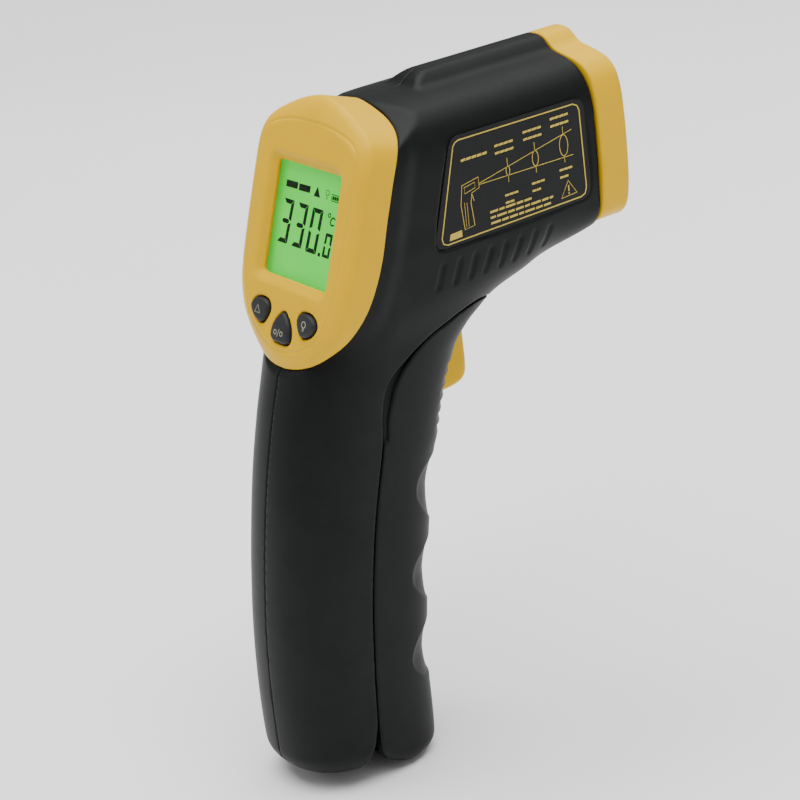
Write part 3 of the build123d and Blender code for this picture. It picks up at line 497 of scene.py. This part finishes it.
CUTF = Flat(door_outline(0.0, CUT_END), box=((-40, -145), (55, -5)))
DOORF = Flat(door_outline(0.42, DOOR_END), box=((-40, -145), (55, -5)))
LABEL = [(29.2, 16.2), (62.6, 16.0), (64.6, 15.4), (65.6, 13.6), (66.1, -5.2), (65.4, -7.2), (63.4, -8.1),
         (23.4, -8.6), (21.2, -8.0), (20.7, -6.0), (26.6, 14.2), (27.6, 15.6)]
LABF = Flat(smooth_closed(LABEL, 3), box=((10, -20), (80, 26)))
LABEL_FLOOR = 18.95
FLARE = Flat(smooth_open([(24.0, 30.0), (20.6, 24.0), (19.9, 19.2), (19.3, 15.5), (17.6, 10.3), (15.0, 2.0), (12.8, -5.5), (9.0, -15.0), (4.0, -25.0), (-2.0, -36.0)], 5)
             + [(-60, -36), (-60, 60), (24, 60)], box=((-40, -60), (60, 50)))
NOTCH = Flat(smooth_closed([(16.8, -28.2), (13.4, -30.7), (12.2, -31.7), (10.5, -33.2), (8.7, -35.2), (7.2, -37.4), (6.2, -39.9), (5.3, -42.4),
                            (4.7, -44.8), (4.0, -48.5), (1.5, -48.5), (1.0, -38.0), (6.0, -30.5), (13.0, -27.0)], 4), box=((-20, -70), (40, -5)))

BEZEL_HALF = [(0, 28.6), (4.5, 27.9), (9.0, 26.5), (13.4, 24.6), (16.8, 22.8), (19.3, 20.7), (20.6, 18.0), (21.1, 14.0),
              (21.25, 6.0), (21.25, -2.0), (21.1, -9.0), (20.6, -14.5), (19.6, -18.6), (17.6, -22.8), (14.6, -26.2),
              (11.0, -29.2), (7.0, -31.8), (3.4, -33.2), (0, -33.6)]
BEZ = Flat(smooth_closed(mirror_pts(BEZEL_HALF), 6), h=0.2, pad=5)


def face_coords(x, y, z):
    # frame coordinates to display-face coordinates
    return x, y * S + z * C, -y * C + z * S


GROOVES = [((22.1, -12.0), (20.4, -16.5)), ((27.0, -12.0), (25.2, -16.5)), ((31.4, -12.0), (29.7, -16.5)), ((36.1, -12.0), (33.9, -16.5)),
           ((40.3, -12.0), (38.6, -16.5)), ((44.6, -12.0), (42.8, -16.4)), ((48.9, -11.9), (47.4, -16.2)), ((53.5, -11.8), (52.3, -15.9))]


def capsule(y, z, a, b, r):
    ey, ez = b[0] - a[0], b[1] - a[1]
    t = np.clip(((y - a[0]) * ey + (z - a[1]) * ez) / (ey * ey + ez * ez), 0, 1)
    return np.sqrt((y - a[0] - t * ey) ** 2 + (z - a[1] - t * ez) ** 2) - r


NF = 3.2


def grip_f(x, y, z):
    yb = np.interp(z, ZT, YB)
    yf = np.interp(z, ZT, YF)
    w = np.interp(z, ZT, HW)
    ym = yb + 17.4
    xa = np.abs(x) / w
    ba = np.maximum(ym - y, 0) / (ym - yb)
    fa = np.maximum(y - ym, 0) / (yf - ym)
    g = (xa ** 2.2 + ba ** 2.2 + 1e-9) ** (1 / 2.2)
    gf = (xa ** NF + fa ** NF + 1e-9) ** (1 / NF)
    return (np.where(y < ym, g, gf) - 1.0) * w


def outer_f(x, y, z):
    g = grip_f(x, y, z)
    bot = (-128.4 - 2.5 * step(-6.0, 4.0, y)) - z
    g = cut_round(g, bot, 6.5 - 3.0 * step(-8.0, 0.0, y))
    g = cut_round(g, z + 2.0, 6.0)
    b = cut_round(SEC(x, z), SIDE(y, z), 6.0 + 7.0 * step(70.0, 52.0, y))
    # the side walls sweep out towards the display rim
    fl = step(0.3, -4.5, FLARE(y, z)) * step(-34.0, -20.0, z)
    b = b - 0.75 * fl * step(26.0, 20.0, z)
    f = join_smooth(b, g, 5.0)
    sp = cut_round(SPSEC(x, z), RAMP(y, z), 0.8)
    return join_smooth(f, sp, 0.9)


def grooves_f(y, z):
    d = None
    for a, b in GROOVES:
        c = capsule(y, z, a, b, 0.0)
        d = c if d is None else np.minimum(d, c)
    return d


def screw_holes(x, y, z):
    # head seats on the left half
    d = None
    for sy, sz, seat in ((56.0, -13.2, -13.4), (-10.5, -50.0, -10.6), (-17.5, -116.8, -11.0)):
        c = np.maximum(np.sqrt((y - sy) ** 2 + (z - sz) ** 2) - 2.75, x - seat)
        d = c if d is None else np.minimum(d, c)
    return d


def housing_f(side):
    def F(x, y, z):
        a = outer_f(x, y, z)
        rim = RIMF(y, z)
        lx, ls, ln = face_coords(x, y, z)
        tuck = BEZ(lx, ls) + 0.12 - 0.75 * np.maximum(rim, 0) - 6.0 * step(-12.0, -24.0, ls) - 4.0 * step(6.0, 9.0, rim)
        a = -join_smooth(-a, -tuck, 1.0)
        wall = -(a + 2.2)
        gd = grooves_f(y, z)
        a = a + 0.33 * step(1.1, 0.2, gd) * step(14.0, 16.0, np.abs(x))
        f = cut_round(a, -rim + 0.10, 0.3)
        f = cut_round(f, y - 68.4, 0.35)
        f = cut_round(f, -CUTF(y, z), 0.25)
        f = np.maximum(f, wall)
        f = np.maximum(f, -np.maximum(np.maximum(boxf(x, -6.3, 6.3), boxf(y, 6.0, 33.5)), boxf(z, -46.0, -18.5)))
        rec = np.maximum(LABF(y, z), LABEL_FLOOR - np.abs(x))
        f = cut_round(f, -rec, 0.25)
        if side < 0:
            f = cut_round(f, -screw_holes(x, y, z), 0.3)
        return cut_round(f, 0.035 - side * x, 0.22)
    return F


# finger rests on the front of the door: the crescent each one leaves on the side
RESTS = [Flat(smooth_open(c, 5) + [(40.0, c[-1][1] - 0.2), (40.0, c[0][1] + 0.2)], box=((-10, -120), (42, -50))) for c in (
    [(20.5, -57.3), (18.2, -57.6), (15.2, -58.5), (12.4, -60.3), (10.9, -63.0), (11.0, -65.9), (12.5, -68.9), (14.8, -71.9), (16.6, -73.7), (19.0, -74.5)],
    [(17.0, -77.0), (14.6, -77.5), (11.4, -79.2), (8.5, -81.2), (7.2, -83.6), (7.2, -86.1), (8.7, -88.7), (11.2, -91.4), (13.3, -93.2), (16.0, -94.0)],
    [(15.0, -96.9), (12.0, -97.5), (8.4, -99.3), (5.7, -101.7), (4.5, -104.3), (4.9, -106.9), (6.6, -109.3), (9.0, -111.4), (11.0, -112.2), (14.0, -112.6)])]


def door_f(x, y, z):
    a = outer_f(x, y, z)
    wall = -(a + 2.4)
    y10 = np.interp(z, ZT, Y10)
    for rest in RESTS:
        a = a + 1.15 * (1.0 - np.exp(np.minimum(rest(y, z), 0.0) / 3.2)) * step(0.0, -0.8, rest(y, z))
    # saw-tooth ribs on the front beside and below the trigger
    ph = np.mod(-z - 37.2, 2.75) / 2.75
    ribs = 0.5 * (1.0 - ph) * np.minimum(1.0, ph * 9.0) * step(-54.2, -53.4, z) * step(-36.6, -37.6, z) * step(-4.5, -1.0, y - y10)
    a = a + ribs
    f = cut_round(a, DOORF(y, z), 0.25)
    f = np.maximum(f, wall)
    slot = np.maximum(np.maximum(np.abs(x) - 6.7, -51.8 - z), 8.0 - y)
    f = cut_round(f, -slot, 0.5)
    scoop = np.maximum(NOTCH(y, z), 16.0 - np.abs(x))
    f = cut_round(f, -scoop, 0.4)
    return f


def build(name, F, lo, hi, h, body, mat, *nodes):
    v, q = net(F, lo, hi, h)
    ob = make_mesh(name, row(v), q, body, mat)
    if nodes:
        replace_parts(ob, *nodes)
    return ob


FINE = 0.45
build("shell_right", housing_f(1), (-1, -27, -132), (21.8, 70, 29), FINE, "body", BLACK, "housing_right")
build("shell_left", housing_f(-1), (-21.8, -27, -132), (1, 70, 29), FINE, "body", BLACK, "housing_left")
build("door_shell", door_f, (-19, -9, -133), (19, 44, -22), FINE, "door", BLACK, "battery_door")


# ------------------------------------------------------------------ bezel ---
KEY_SIDE = [(-3.45, 0.5), (-2.6, 1.85), (-0.5, 2.65), (2.4, 2.35), (3.4, 0.9), (2.75, -1.0), (1.3, -2.6), (-0.9, -2.3), (-2.75, -0.9)]
KEY_MID = [(0.0, 4.8), (1.3, 4.0), (2.8, 2.3), (3.5, 0.4), (3.45, -1.1), (2.4, -1.95), (0.0, -2.1), (-2.4, -1.95), (-3.45, -1.1),
           (-3.5, 0.4), (-2.8, 2.3), (-1.3, 4.0)]
CREASE_HALF = [(0, 22.7), (5.0, 22.5), (10.0, 21.8), (14.5, 20.5), (16.7, 19.1), (17.7, 17.0), (17.95, 8.0), (17.9, -3.0), (17.1, -11.5),
               (15.8, -17.2), (13.3, -22.2), (8.5, -26.1), (4.0, -27.9), (0, -28.4)]
CREASE = Flat(smooth_closed(mirror_pts(CREASE_HALF), 5), h=0.2, pad=6)
KEYS = {"left": (-8.9, -20.9, KEY_SIDE), "centre": (0.0, -24.5, KEY_MID),
        "right": (8.9, -20.9, [(-x, y) for x, y in reversed(KEY_SIDE)])}
KEYF = {k: Flat(smooth_closed([(kx + x, ky + y) for x, y in shp], 5), h=0.12, pad=3) for k, (kx, ky, shp) in KEYS.items()}


def rrect_f(x, y, hw, hh, r):
    qx = np.abs(x) - hw + r
    qy = np.abs(y) - hh + r
    return np.sqrt(np.maximum(qx, 0) ** 2 + np.maximum(qy, 0) ** 2) + np.minimum(np.maximum(qx, qy), 0) - r


def bezel_local(x, s, n):
    d = BEZ(x, s)
    a = 5.2 + 3.6 * step(14.0, 26.0, s) + 2.6 * step(-14.0, -30.0, s)
    u = (d + a) / a
    v = (n - 2.4 + 3.1) / 3.1
    f = (np.minimum(np.maximum(u, v), 0) + np.sqrt(np.maximum(u, 0) ** 2 + np.maximum(v, 0) ** 2) - 1.0) * 3.6
    f = cut_round(f, n - 2.38 + 0.23 * step(0.22, -0.22, CREASE(x, s)), 0.15)
    f = f + 0.24 * np.exp(-(CREASE(x, s) / 0.26) ** 2) * step(1.0, 1.8, n)
    wall = -cut_round(d + 2.3, n + 0.1, 3.0)
    grow = np.clip(n - 0.7, 0, 4) * 1.3
    win = rrect_f(x, s, 11.9 + grow, 12.75 + grow, 1.2 + grow)
    f = cut_round(f, -win, 0.45)
    for k, (kx, ky, shp) in KEYS.items():
        f = cut_round(f, -(KEYF[k](x, s) - 0.33), 0.3)
    return np.maximum(f, wall)


def bezel_f(x, y, z):
    lx, ls, ln = face_coords(x, y, z)
    f = bezel_local(lx, ls, ln)
    return cut_round(f, RIMF(y, z) + 0.10, 0.4)


build("bezel_shell", bezel_f, (-22, -13.5, -35), (22, 20, 28.5), 0.28, "body", YELLOW, "display_bezel")


def key_f(k):
    def F(x, y, z):
        lx, ls, ln = face_coords(x, y, z)
        kx, ky, _ = KEYS[k]
        dome = 3.1 - 0.02 * ((lx - kx) ** 2 + (ls - ky) ** 2)
        top = cut_round(KEYF[k](lx, ls), np.maximum(ln - dome, -0.9 - ln), 0.75)
        flange = np.maximum(KEYF[k](lx, ls) - 0.75, boxf(ln, -1.55, -0.5))
        stem = np.maximum(np.sqrt((lx - kx) ** 2 + (ls - ky) ** 2) - 1.7, boxf(ln, -6.0, -1.0))
        return np.minimum(np.minimum(top, flange), stem)
    return F


for k, (kx, ky, shp) in KEYS.items():
    c = face_to([kx, ky, -1.5])
    r = 7.6
    build("key_cap_" + k, key_f(k), c - r, c + r, 0.17, "key_" + k, KEY, "button_" + k)

# -------------------------------------------------------------- nose ring ---
RING_HALF = [(0, 27.2), (2.6, 26.8), (4.1, 25.9), (5.3, 24.9), (6.6, 24.2), (8.6, 23.7), (11.2, 23.2), (13.7, 22.6),
             (15.8, 21.7), (17.4, 20.4), (18.5, 18.9), (19.2, 17.0), (19.8, 14.2), (20.2, 9.5), (20.4, 3.5), (20.4, -2.4),
             (20.1, -7.5), (19.5, -10.9), (18.6, -13.1), (17.0, -14.8), (14.6, -15.9), (11.0, -16.6), (6.0, -16.9), (0, -17.0)]
RING = Flat(smooth_closed(mirror_pts(RING_HALF), 5), h=0.2, pad=4)


def ring_f(x, y, z):
    d = RING(x, z)
    f = cut_round(d, y - 76.85, 0.7)
    f = cut_round(f, 68.75 - y, 0.5)
    inner = d + 2.6 - 0.5 * np.clip(y - 75.6, 0, 2)
    f = cut_round(f, -inner, 0.35)
    fl = np.maximum(np.maximum(d + 2.0, boxf(y, 68.75, 69.9)), -(d + 4.2))
    return np.minimum(f, fl)


build("ring_shell", ring_f, (-21.5, 67.5, -18), (21.5, 77.8, 28.2), 0.33, "body", YELLOW, "nose_ring")

# ---------------------------------------------------------------- trigger ---
TRIG = [(35.9, -28.8), (36.35, -33.0), (36.5, -38.0), (36.5, -43.0), (36.1, -45.4), (34.9, -46.9), (33.0, -47.6), (29.0, -48.0), (24.0, -48.2),
        (19.5, -48.2), (17.6, -47.4), (17.5, -44.0), (17.4, -41.6), (14.8, -40.9), (14.5, -38.0), (14.7, -35.6), (17.0, -33.6), (17.8, -30.0), (18.3, -24.0),
        (19.6, -19.2), (22.0, -18.0), (24.6, -19.2), (26.4, -22.0), (28.6, -26.4), (31.0, -28.3), (33.6, -28.8)]
TRG = Flat(smooth_closed(TRIG, 4), h=0.15, pad=4)


def trigger_f(x, y, z):
    d = TRG(y, z) + 0.35 * step(-30.0, -38.0, z) * step(-46.5, -40.0, z) * step(33.0, 36.0, y) * step(5.5, 0.0, np.abs(x))
    f = cut_round(d, np.abs(x) - 5.45, 1.7)
    return cut_round(f, 1.3 - np.sqrt((y - 22.0) ** 2 + (z + 21.5) ** 2), 0.1)


build("trigger_blade", trigger_f, (-6.4, 13.5, -49.5), (6.4, 37.5, -17), 0.26, "trigger", YELLOW, "trigger")


# ----------------------------------------------------------------- screws ---
def screw_f(sy, sz, seat, tip):
    def F(x, y, z):
        dy, dz = y - sy, z - sz
        r = np.sqrt(dy * dy + dz * dz)
        head = cut_round(r - 2.35, boxf(x, seat - 1.2, seat), 0.35)
        a = (dy + dz) * 0.70710678
        b = (dy - dz) * 0.70710678
        cross = np.maximum(np.minimum(np.maximum(np.abs(a) - 0.34, np.abs(b) - 1.35), np.maximum(np.abs(b) - 0.34, np.abs(a) - 1.35)), x - (seat - 0.45))
        head = np.maximum(head, -cross)
        shank = np.maximum(r - 0.95, boxf(x, seat - 0.5, tip))
        return np.minimum(head, shank)
    return F


sv, sq, base = [], [], 0
for sy, sz, seat, tip in ((56.0, -13.2, -13.4, 10.5), (31.0, 11.0, -13.4, 10.5), (-10.5, -50.0, -10.6, 9.0), (-17.5, -116.8, -11.0, 9.4)):
    v, q = net(screw_f(sy, sz, seat, tip), (seat - 1.8, sy - 3.0, sz - 3.0), (tip + 0.6, sy + 3.0, sz + 3.0), 0.17)
    sv.append(v)
    sq.append(q + base)
    base += len(v)
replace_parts(make_mesh("case_screws", row(np.concatenate(sv)), np.concatenate(sq), "body", STEEL), "housing_screws")


# ----------------------------------------------------------------- spring ---
th = np.linspace(0, 2 * np.pi * 7.0, 337)
cx, cy, cz = 2.1 * np.cos(th), 4.73 + 11.7 * th / th[-1], -44.7 + 2.1 * np.sin(th)
line = np.stack([cx, cy, cz], -1)
tan = np.gradient(line, axis=0)
tan /= np.linalg.norm(tan, axis=1, keepdims=True)
rad = np.stack([np.cos(th), np.zeros_like(th), np.sin(th)], -1)
bi = np.cross(tan, rad)
bi /= np.linalg.norm(bi, axis=1, keepdims=True)
M_ = 12
ang = 2 * np.pi * np.arange(M_) / M_
sv = (line[:, None, :] + 0.27 * (np.cos(ang)[None, :, None] * rad[:, None, :] + np.sin(ang)[None, :, None] * bi[:, None, :])).reshape(-1, 3)
sq = [(i * M_ + k, i * M_ + (k + 1) % M_, (i + 1) * M_ + (k + 1) % M_, (i + 1) * M_ + k) for i in range(len(th) - 1) for k in range(M_)]
sv = np.concatenate([sv, line[:1], line[-1:]])
n0 = len(sv) - 2
e0 = (len(th) - 1) * M_
sq = [(a_, b_, c_) for q_ in sq for (a_, b_, c_) in ((q_[0], q_[1], q_[2]), (q_[0], q_[2], q_[3]))]
sq += [(n0, (k + 1) % M_, k) for k in range(M_)] + [(n0 + 1, e0 + k, e0 + (k + 1) % M_) for k in range(M_)]
coil = make_mesh("return_spring", row(sv), sq, "body", SPRING)
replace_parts(coil, "trigger_spring")
tuple(row([0.0, 4.2, -44.7]))
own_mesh(coil)


# ------------------------------------------------- marks on the flat faces --
def plate(name, outlines, to_row, body, mat, depth):
    """Flat raised marks: every outline is a closed list of points, made into a thin solid prism."""
    verts, faces = [], []
    import bmesh
    bm = bmesh.new()
    for o in outlines:
        lo_ = [bm.verts.new(Vector(to_row((a, b, 0.0)))) for a, b in o]
        hi_ = [bm.verts.new(Vector(to_row((a, b, depth)))) for a, b in o]
        n = len(o)
        for i in range(n):
            j = (i + 1) % n
            bm.faces.new((lo_[i], lo_[j], hi_[j], hi_[i]))
        bm.faces.new(hi_)
        bm.faces.new(list(reversed(lo_)))
    bmesh.ops.recalc_face_normals(bm, faces=bm.faces)
    bmesh.ops.triangulate(bm, faces=[f for f in bm.faces if len(f.verts) > 4])
    me = bpy.data.meshes.new(name)
    bm.to_mesh(me)
    bm.free()
    ob = bpy.data.objects.new(name, me)
    bpy.context.scene.collection.objects.link(ob)
    me.materials.append(mat)
    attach(ob, body)
    return ob


def stroke(p, w, closed=False):
    """Outline pieces (quads) of a line of width w."""
    out = []
    n = len(p)
    m = n if closed else n - 1
    for i in range(m):
        (x0, y0), (x1, y1) = p[i], p[(i + 1) % n]
        l = math.hypot(x1 - x0, y1 - y0)
        if l < 1e-6:
            continue
        ux, uy = (x1 - x0) / l, (y1 - y0) / l
        nx, ny = -uy * w / 2, ux * w / 2
        ex, ey = ux * w * 0.35, uy * w * 0.35
        out.append([(x0 - ex + nx, y0 - ey + ny), (x0 - ex - nx, y0 - ey - ny), (x1 + ex - nx, y1 + ey - ny), (x1 + ex + nx, y1 + ey + ny)])
    return out


def ring_strip(p, w):
    """A closed line as one loop of quads with mitred corners."""
    n = len(p)
    o = inset(p, w / 2)
    i_ = inset(p, -w / 2)
    return [[o[k], o[(k + 1) % n], i_[(k + 1) % n], i_[k]] for k in range(n)]


def lcd_at(z0):
    def f(p):
        return row(face_to([p[0], p[1], z0 + p[2]]))
    return f


# seven-segment figures, leaning as on such displays
def seg_digit(cx, cy, w, h, t, on, lean=0.09):
    s_ = {
        "a": [(-w / 2, h / 2), (w / 2, h / 2), (w / 2 - t, h / 2 - t), (-w / 2 + t, h / 2 - t)],
        "g": [(-w / 2 + t * 0.5, 0), (-w / 2 + t, t / 2), (w / 2 - t, t / 2), (w / 2 - t * 0.5, 0), (w / 2 - t, -t / 2), (-w / 2 + t, -t / 2)],
        "d": [(-w / 2, -h / 2), (-w / 2 + t, -h / 2 + t), (w / 2 - t, -h / 2 + t), (w / 2, -h / 2)],
        "f": [(-w / 2, h / 2), (-w / 2 + t, h / 2 - t), (-w / 2 + t, t * 0.55), (-w / 2, t * 0.1)],
        "b": [(w / 2, h / 2), (w / 2, t * 0.1), (w / 2 - t, t * 0.55), (w / 2 - t, h / 2 - t)],
        "e": [(-w / 2, -h / 2), (-w / 2, -t * 0.1), (-w / 2 + t, -t * 0.55), (-w / 2 + t, -h / 2 + t)],
        "c": [(w / 2, -h / 2), (w / 2 - t, -h / 2 + t), (w / 2 - t, -t * 0.55), (w / 2, -t * 0.1)],
    }
    out = []
    for k in on:
        p = s_[k]
        ax = sum(q[0] for q in p) / len(p)
        ay = sum(q[1] for q in p) / len(p)
        p = [(ax + (q[0] - ax) * 0.93, ay + (q[1] - ay) * 0.96) for q in p]
        out.append([(cx + q[0] + lean * q[1], cy + q[1]) for q in p])
    return out


DIG = {"0": "abcdef", "3": "abcdg", "C": "adef"}
seg = []
for ch, cx, cy, w, h, t in (("3", -8.55, -0.75, 3.95, 9.9, 1.05), ("3", -3.1, -0.75, 3.95, 9.9, 1.05), ("0", 2.5, -0.85, 4.05, 10.0, 1.05),
                            ("0", 7.95, -3.1, 2.6, 5.4, 0.72)):
    seg += seg_digit(cx, cy, w, h, t, DIG[ch], 0.075)
seg += [[(4.95, -5.95), (5.75, -5.95), (5.75, -5.15), (4.95, -5.15)]]
seg += stroke([(9.4, 2.95), (8.75, 3.25), (8.1, 2.9), (7.85, 2.3), (7.9, 1.75), (8.4, 1.45), (9.2, 1.7)], 0.32)
circ = [(7.2 + 0.42 * math.cos(a), 3.5 + 0.42 * math.sin(a)) for a in np.linspace(0, 2 * math.pi, 13)[:-1]]
seg += ring_strip(circ, 0.24)
# status icons: two plain tabs, a triangle, a lamp and a cell
for x0, x1 in ((-10.2, -5.9), (-5.35, -1.15)):
    seg.append([(x0, 6.75), (x1, 6.85), (x1, 8.35), (x0, 8.25)])
seg.append([(0.4, 6.55), (2.75, 6.55), (1.5, 8.75)])
lamp = [(5.3 + 0.62 * math.cos(a), 8.1 + 0.62 * math.sin(a)) for a in np.linspace(0, 2 * math.pi, 13)[:-1]]
seg += ring_strip(lamp, 0.14)
seg += stroke([(5.05, 7.1), (5.55, 7.1)], 0.14) + stroke([(5.1, 6.75), (5.5, 6.75)], 0.14)
seg += ring_strip([(7.0, 6.7), (10.0, 6.7), (10.0, 8.1), (7.0, 8.1)], 0.2)
for k in range(3):
    seg.append([(7.3 + 0.8 * k, 7.0), (7.95 + 0.8 * k, 7.0), (7.95 + 0.8 * k, 7.8), (7.3 + 0.8 * k, 7.8)])
plate("lcd_figures", seg, lcd_at(-1.3), "body", SEG, 0.05)

# key marks: plain line symbols
for k, (kx, ky, shp) in KEYS.items():
    if k == "left":
        m = ring_strip([(kx - 0.95, ky - 0.75), (kx + 0.95, ky - 0.75), (kx, ky + 1.0)], 0.17)
    elif k == "right":
        m = ring_strip([(kx + 0.7 * math.cos(a), ky + 0.4 + 0.7 * math.sin(a)) for a in np.linspace(0, 2 * math.pi, 15)[:-1]], 0.17)
        m += stroke([(kx - 0.3, ky - 0.6), (kx + 0.3, ky - 0.6)], 0.16) + stroke([(kx - 0.2, ky - 0.95), (kx + 0.2, ky - 0.95)], 0.16)
    else:
        m = stroke([(kx - 0.3, ky - 0.7), (kx + 0.3, ky + 1.0)], 0.16)
        for q in (-1.15, 1.15):
            m += ring_strip([(kx + q + 0.5 * math.cos(a), ky + 0.15 + 0.5 * math.sin(a)) for a in np.linspace(0, 2 * math.pi, 13)[:-1]], 0.16)
    plate("key_mark_" + k, m, lcd_at(2.98), "key_" + k, MARK, 0.14)


# label: generic spot-size diagram
def label_at(side):
    def f(p):
        return row([side * (LABEL_FLOOR + 0.25 + p[2]), p[0], p[1]])
    return f


ink = []
frame_line = [(29.6, 15.0), (62.3, 14.8), (63.5, 14.2), (64.0, 13.0), (64.5, -5.2), (64.0, -6.6), (62.8, -7.1),
              (24.0, -7.6), (22.9, -7.1), (22.6, -5.9), (27.9, 13.9), (28.6, 14.7)]
ink += ring_strip(frame_line, 0.28)
ox, oz = 34.2, 3.6
ink += stroke([(ox, oz + 0.3), (61.3, oz + 5.6)], 0.14) + stroke([(ox, oz), (61.3, oz - 0.3)], 0.14)
for cx, ry in ((42.4, 1.05), (50.4, 1.75), (58.8, 2.45)):
    t = (cx - ox) / 27.0
    cz = oz + 0.15 + 2.6 * t
    ink += ring_strip([(cx + 0.5 * ry * math.cos(a), cz + ry * math.sin(a)) for a in np.linspace(0, 2 * math.pi, 25)[:-1]], 0.16)
    ink += stroke([(cx, cz + ry + 0.1), (cx, cz + ry + 1.9)], 0.13) + stroke([(cx, cz - ry - 0.1), (cx, cz - ry - 1.5)], 0.13)
# measure bars above and below the cone
for cx, z0 in ((39.4, 9.4), (47.6, 10.4), (55.6, 11.4)):
    for k in range(2):
        for q in range(4):
            ink += stroke([(cx + 1.35 * q, z0 + 1.7 * (1 - k) - 0.1), (cx + 0.85 + 1.35 * q, z0 + 1.7 * (1 - k) - 0.05)], 0.5)
for cx, z0 in ((41.2, -0.9), (49.0, -0.3), (57.2, 0.6)):
    for k in range(2):
        for q in range(3 - k):
            ink += stroke([(cx + 1.3 * q, z0 - 1.7 * k), (cx + 0.8 + 1.3 * q, z0 - 1.7 * k)], 0.48)
for q in range(5):
    ink += stroke([(29.9 + 1.5 * q, 10.2), (30.8 + 1.5 * q, 10.25)], 0.55)
# rows of plain bars where such a label carries its notes
for k, (x0, x1) in enumerate(((36.6, 48.2), (36.6, 54.4), (36.6, 53.6))):
    xx = x0
    q = 0
    while xx < x1:
        w = (1.9, 1.1, 2.4, 1.5)[(q + k) % 4]
        ink += stroke([(xx, -3.55 - 1.3 * k), (min(xx + w, x1), -3.5 - 1.3 * k)], 0.5)
        xx += w + 0.75
        q += 1
# outline of a hand-held thermometer
dev = [(29.3, 4.6), (34.0, 5.4), (34.0, 2.9), (31.9, 2.3), (31.4, 0.2), (31.9, -5.2), (29.1, -5.5), (28.6, 0.2)]
ink += ring_strip(dev, 0.16)
ink += ring_strip([(29.9, 4.0), (32.9, 4.5), (32.9, 3.2), (29.9, 2.6)], 0.13)
ink += stroke([(31.9, 1.9), (32.3, 0.4)], 0.16) + stroke([(30.3, 0.4), (30.3, -5.0)], 0.1) + stroke([(29.6, 0.6), (29.6, -5.0)], 0.1)
# caution triangle and an empty caption box
ink += ring_strip([(57.0, -6.0), (61.6, -5.7), (59.3, -2.3)], 0.22)
ink += stroke([(59.3, -3.5), (59.3, -4.7)], 0.3) + stroke([(59.3, -5.2), (59.3, -5.4)], 0.3)
ink.append([(24.6, -6.9), (28.2, -6.8), (28.2, -5.3), (25.0, -5.45)])
plate("label_print_right", ink, label_at(1), "body", INK, 0.03)
plate("label_print_left", ring_strip(frame_line, 0.28), label_at(-1), "body", INK, 0.03)

# --------------------------------------------------------- camera and light --
UNIT = 0.89
az, el, roll = math.radians(34.7), math.radians(22.4), math.radians(-6.3)
F_PX, TX, TY, DIST = 2500.0, -23.4, 43.12, 614.9
CALIB = True


def rot(az_, el_, roll_):
    ca, sa = math.cos(az_), math.sin(az_)
    ce, se = math.cos(el_), math.sin(el_)
    fwd = np.array([-ca * ce, sa * ce, -se])
    right = np.cross(fwd, [0, 0, 1.0])
    right /= np.linalg.norm(right)
    up = np.cross(right, fwd)
    c_, s_ = math.cos(roll_), math.sin(roll_)
    return np.array([c_ * right + s_ * up, -s_ * right + c_ * up, fwd])


R = rot(az, el, roll)
cam_mm = (np.array([-TX, -TY, -DIST]) @ R) * UNIT
cam_at = row(cam_mm)
cam = bpy.data.cameras.new("view_camera")
cam.sensor_width = 36.0
cam.lens = F_PX / 800.0 * 36.0
cam.clip_start = 0.01
cam.clip_end = 50.0
cam_ob = bpy.data.objects.new("view_camera", cam)
bpy.context.scene.collection.objects.link(cam_ob)
M = Matrix(((R[0][0], R[1][0], -R[2][0], cam_at[0]), (R[0][1], R[1][1], -R[2][1], cam_at[1]),
            (R[0][2], R[1][2], -R[2][2], cam_at[2]), (0, 0, 0, 1)))
cam_ob.matrix_world = M
bpy.context.scene.camera = cam_ob

floor_mat = moulded("pale_floor", (0.86, 0.86, 0.86), (0.9, 0.9, 0.9), 0.8, bump=0.05, grain=300, mottle=6, blotch=2)
me = bpy.data.meshes.new("floor")
fz = CAD_BOX[0][2] - 0.0005
me.from_pydata([(-3, -3, fz), (3, -3, fz), (3, 3, fz), (-3, 3, fz)], [], [(0, 1, 2, 3)])
fl_ob = bpy.data.objects.new("floor", me)
me.materials.append(floor_mat)
bpy.context.scene.collection.objects.link(fl_ob)

world = bpy.data.worlds.new("studio")
bpy.context.scene.world = world
world.use_nodes = True
world.node_tree.nodes["Background"].inputs["Color"].default_value = (1, 1, 1, 1)
world.node_tree.nodes["Background"].inputs["Strength"].default_value = 0.32


def area(name, loc, target, size, power):
    l = bpy.data.lights.new(name, "AREA")
    l.shape = "RECTANGLE"
    l.size, l.size_y = size
    l.energy = power
    o = bpy.data.objects.new(name, l)
    bpy.context.scene.collection.objects.link(o)
    o.location = loc
    d = Vector(target) - Vector(loc)
    o.rotation_euler = d.to_track_quat("-Z", "Y").to_euler()


area("key_light", (-0.55, -0.8, 0.55), (0, 0, 0.03), (0.45, 0.45), 1.6)
area("side_light", (0.9, 0.25, 0.45), (0, 0, 0.03), (0.4, 0.8), 1.0)
area("back_light", (-0.2, 0.8, 0.7), (0, 0, 0.05), (0.8, 0.4), 1.5)
area("top_light", (0.0, 0.0, 1.5), (0, 0, 0), (1.8, 1.8), 60.0)
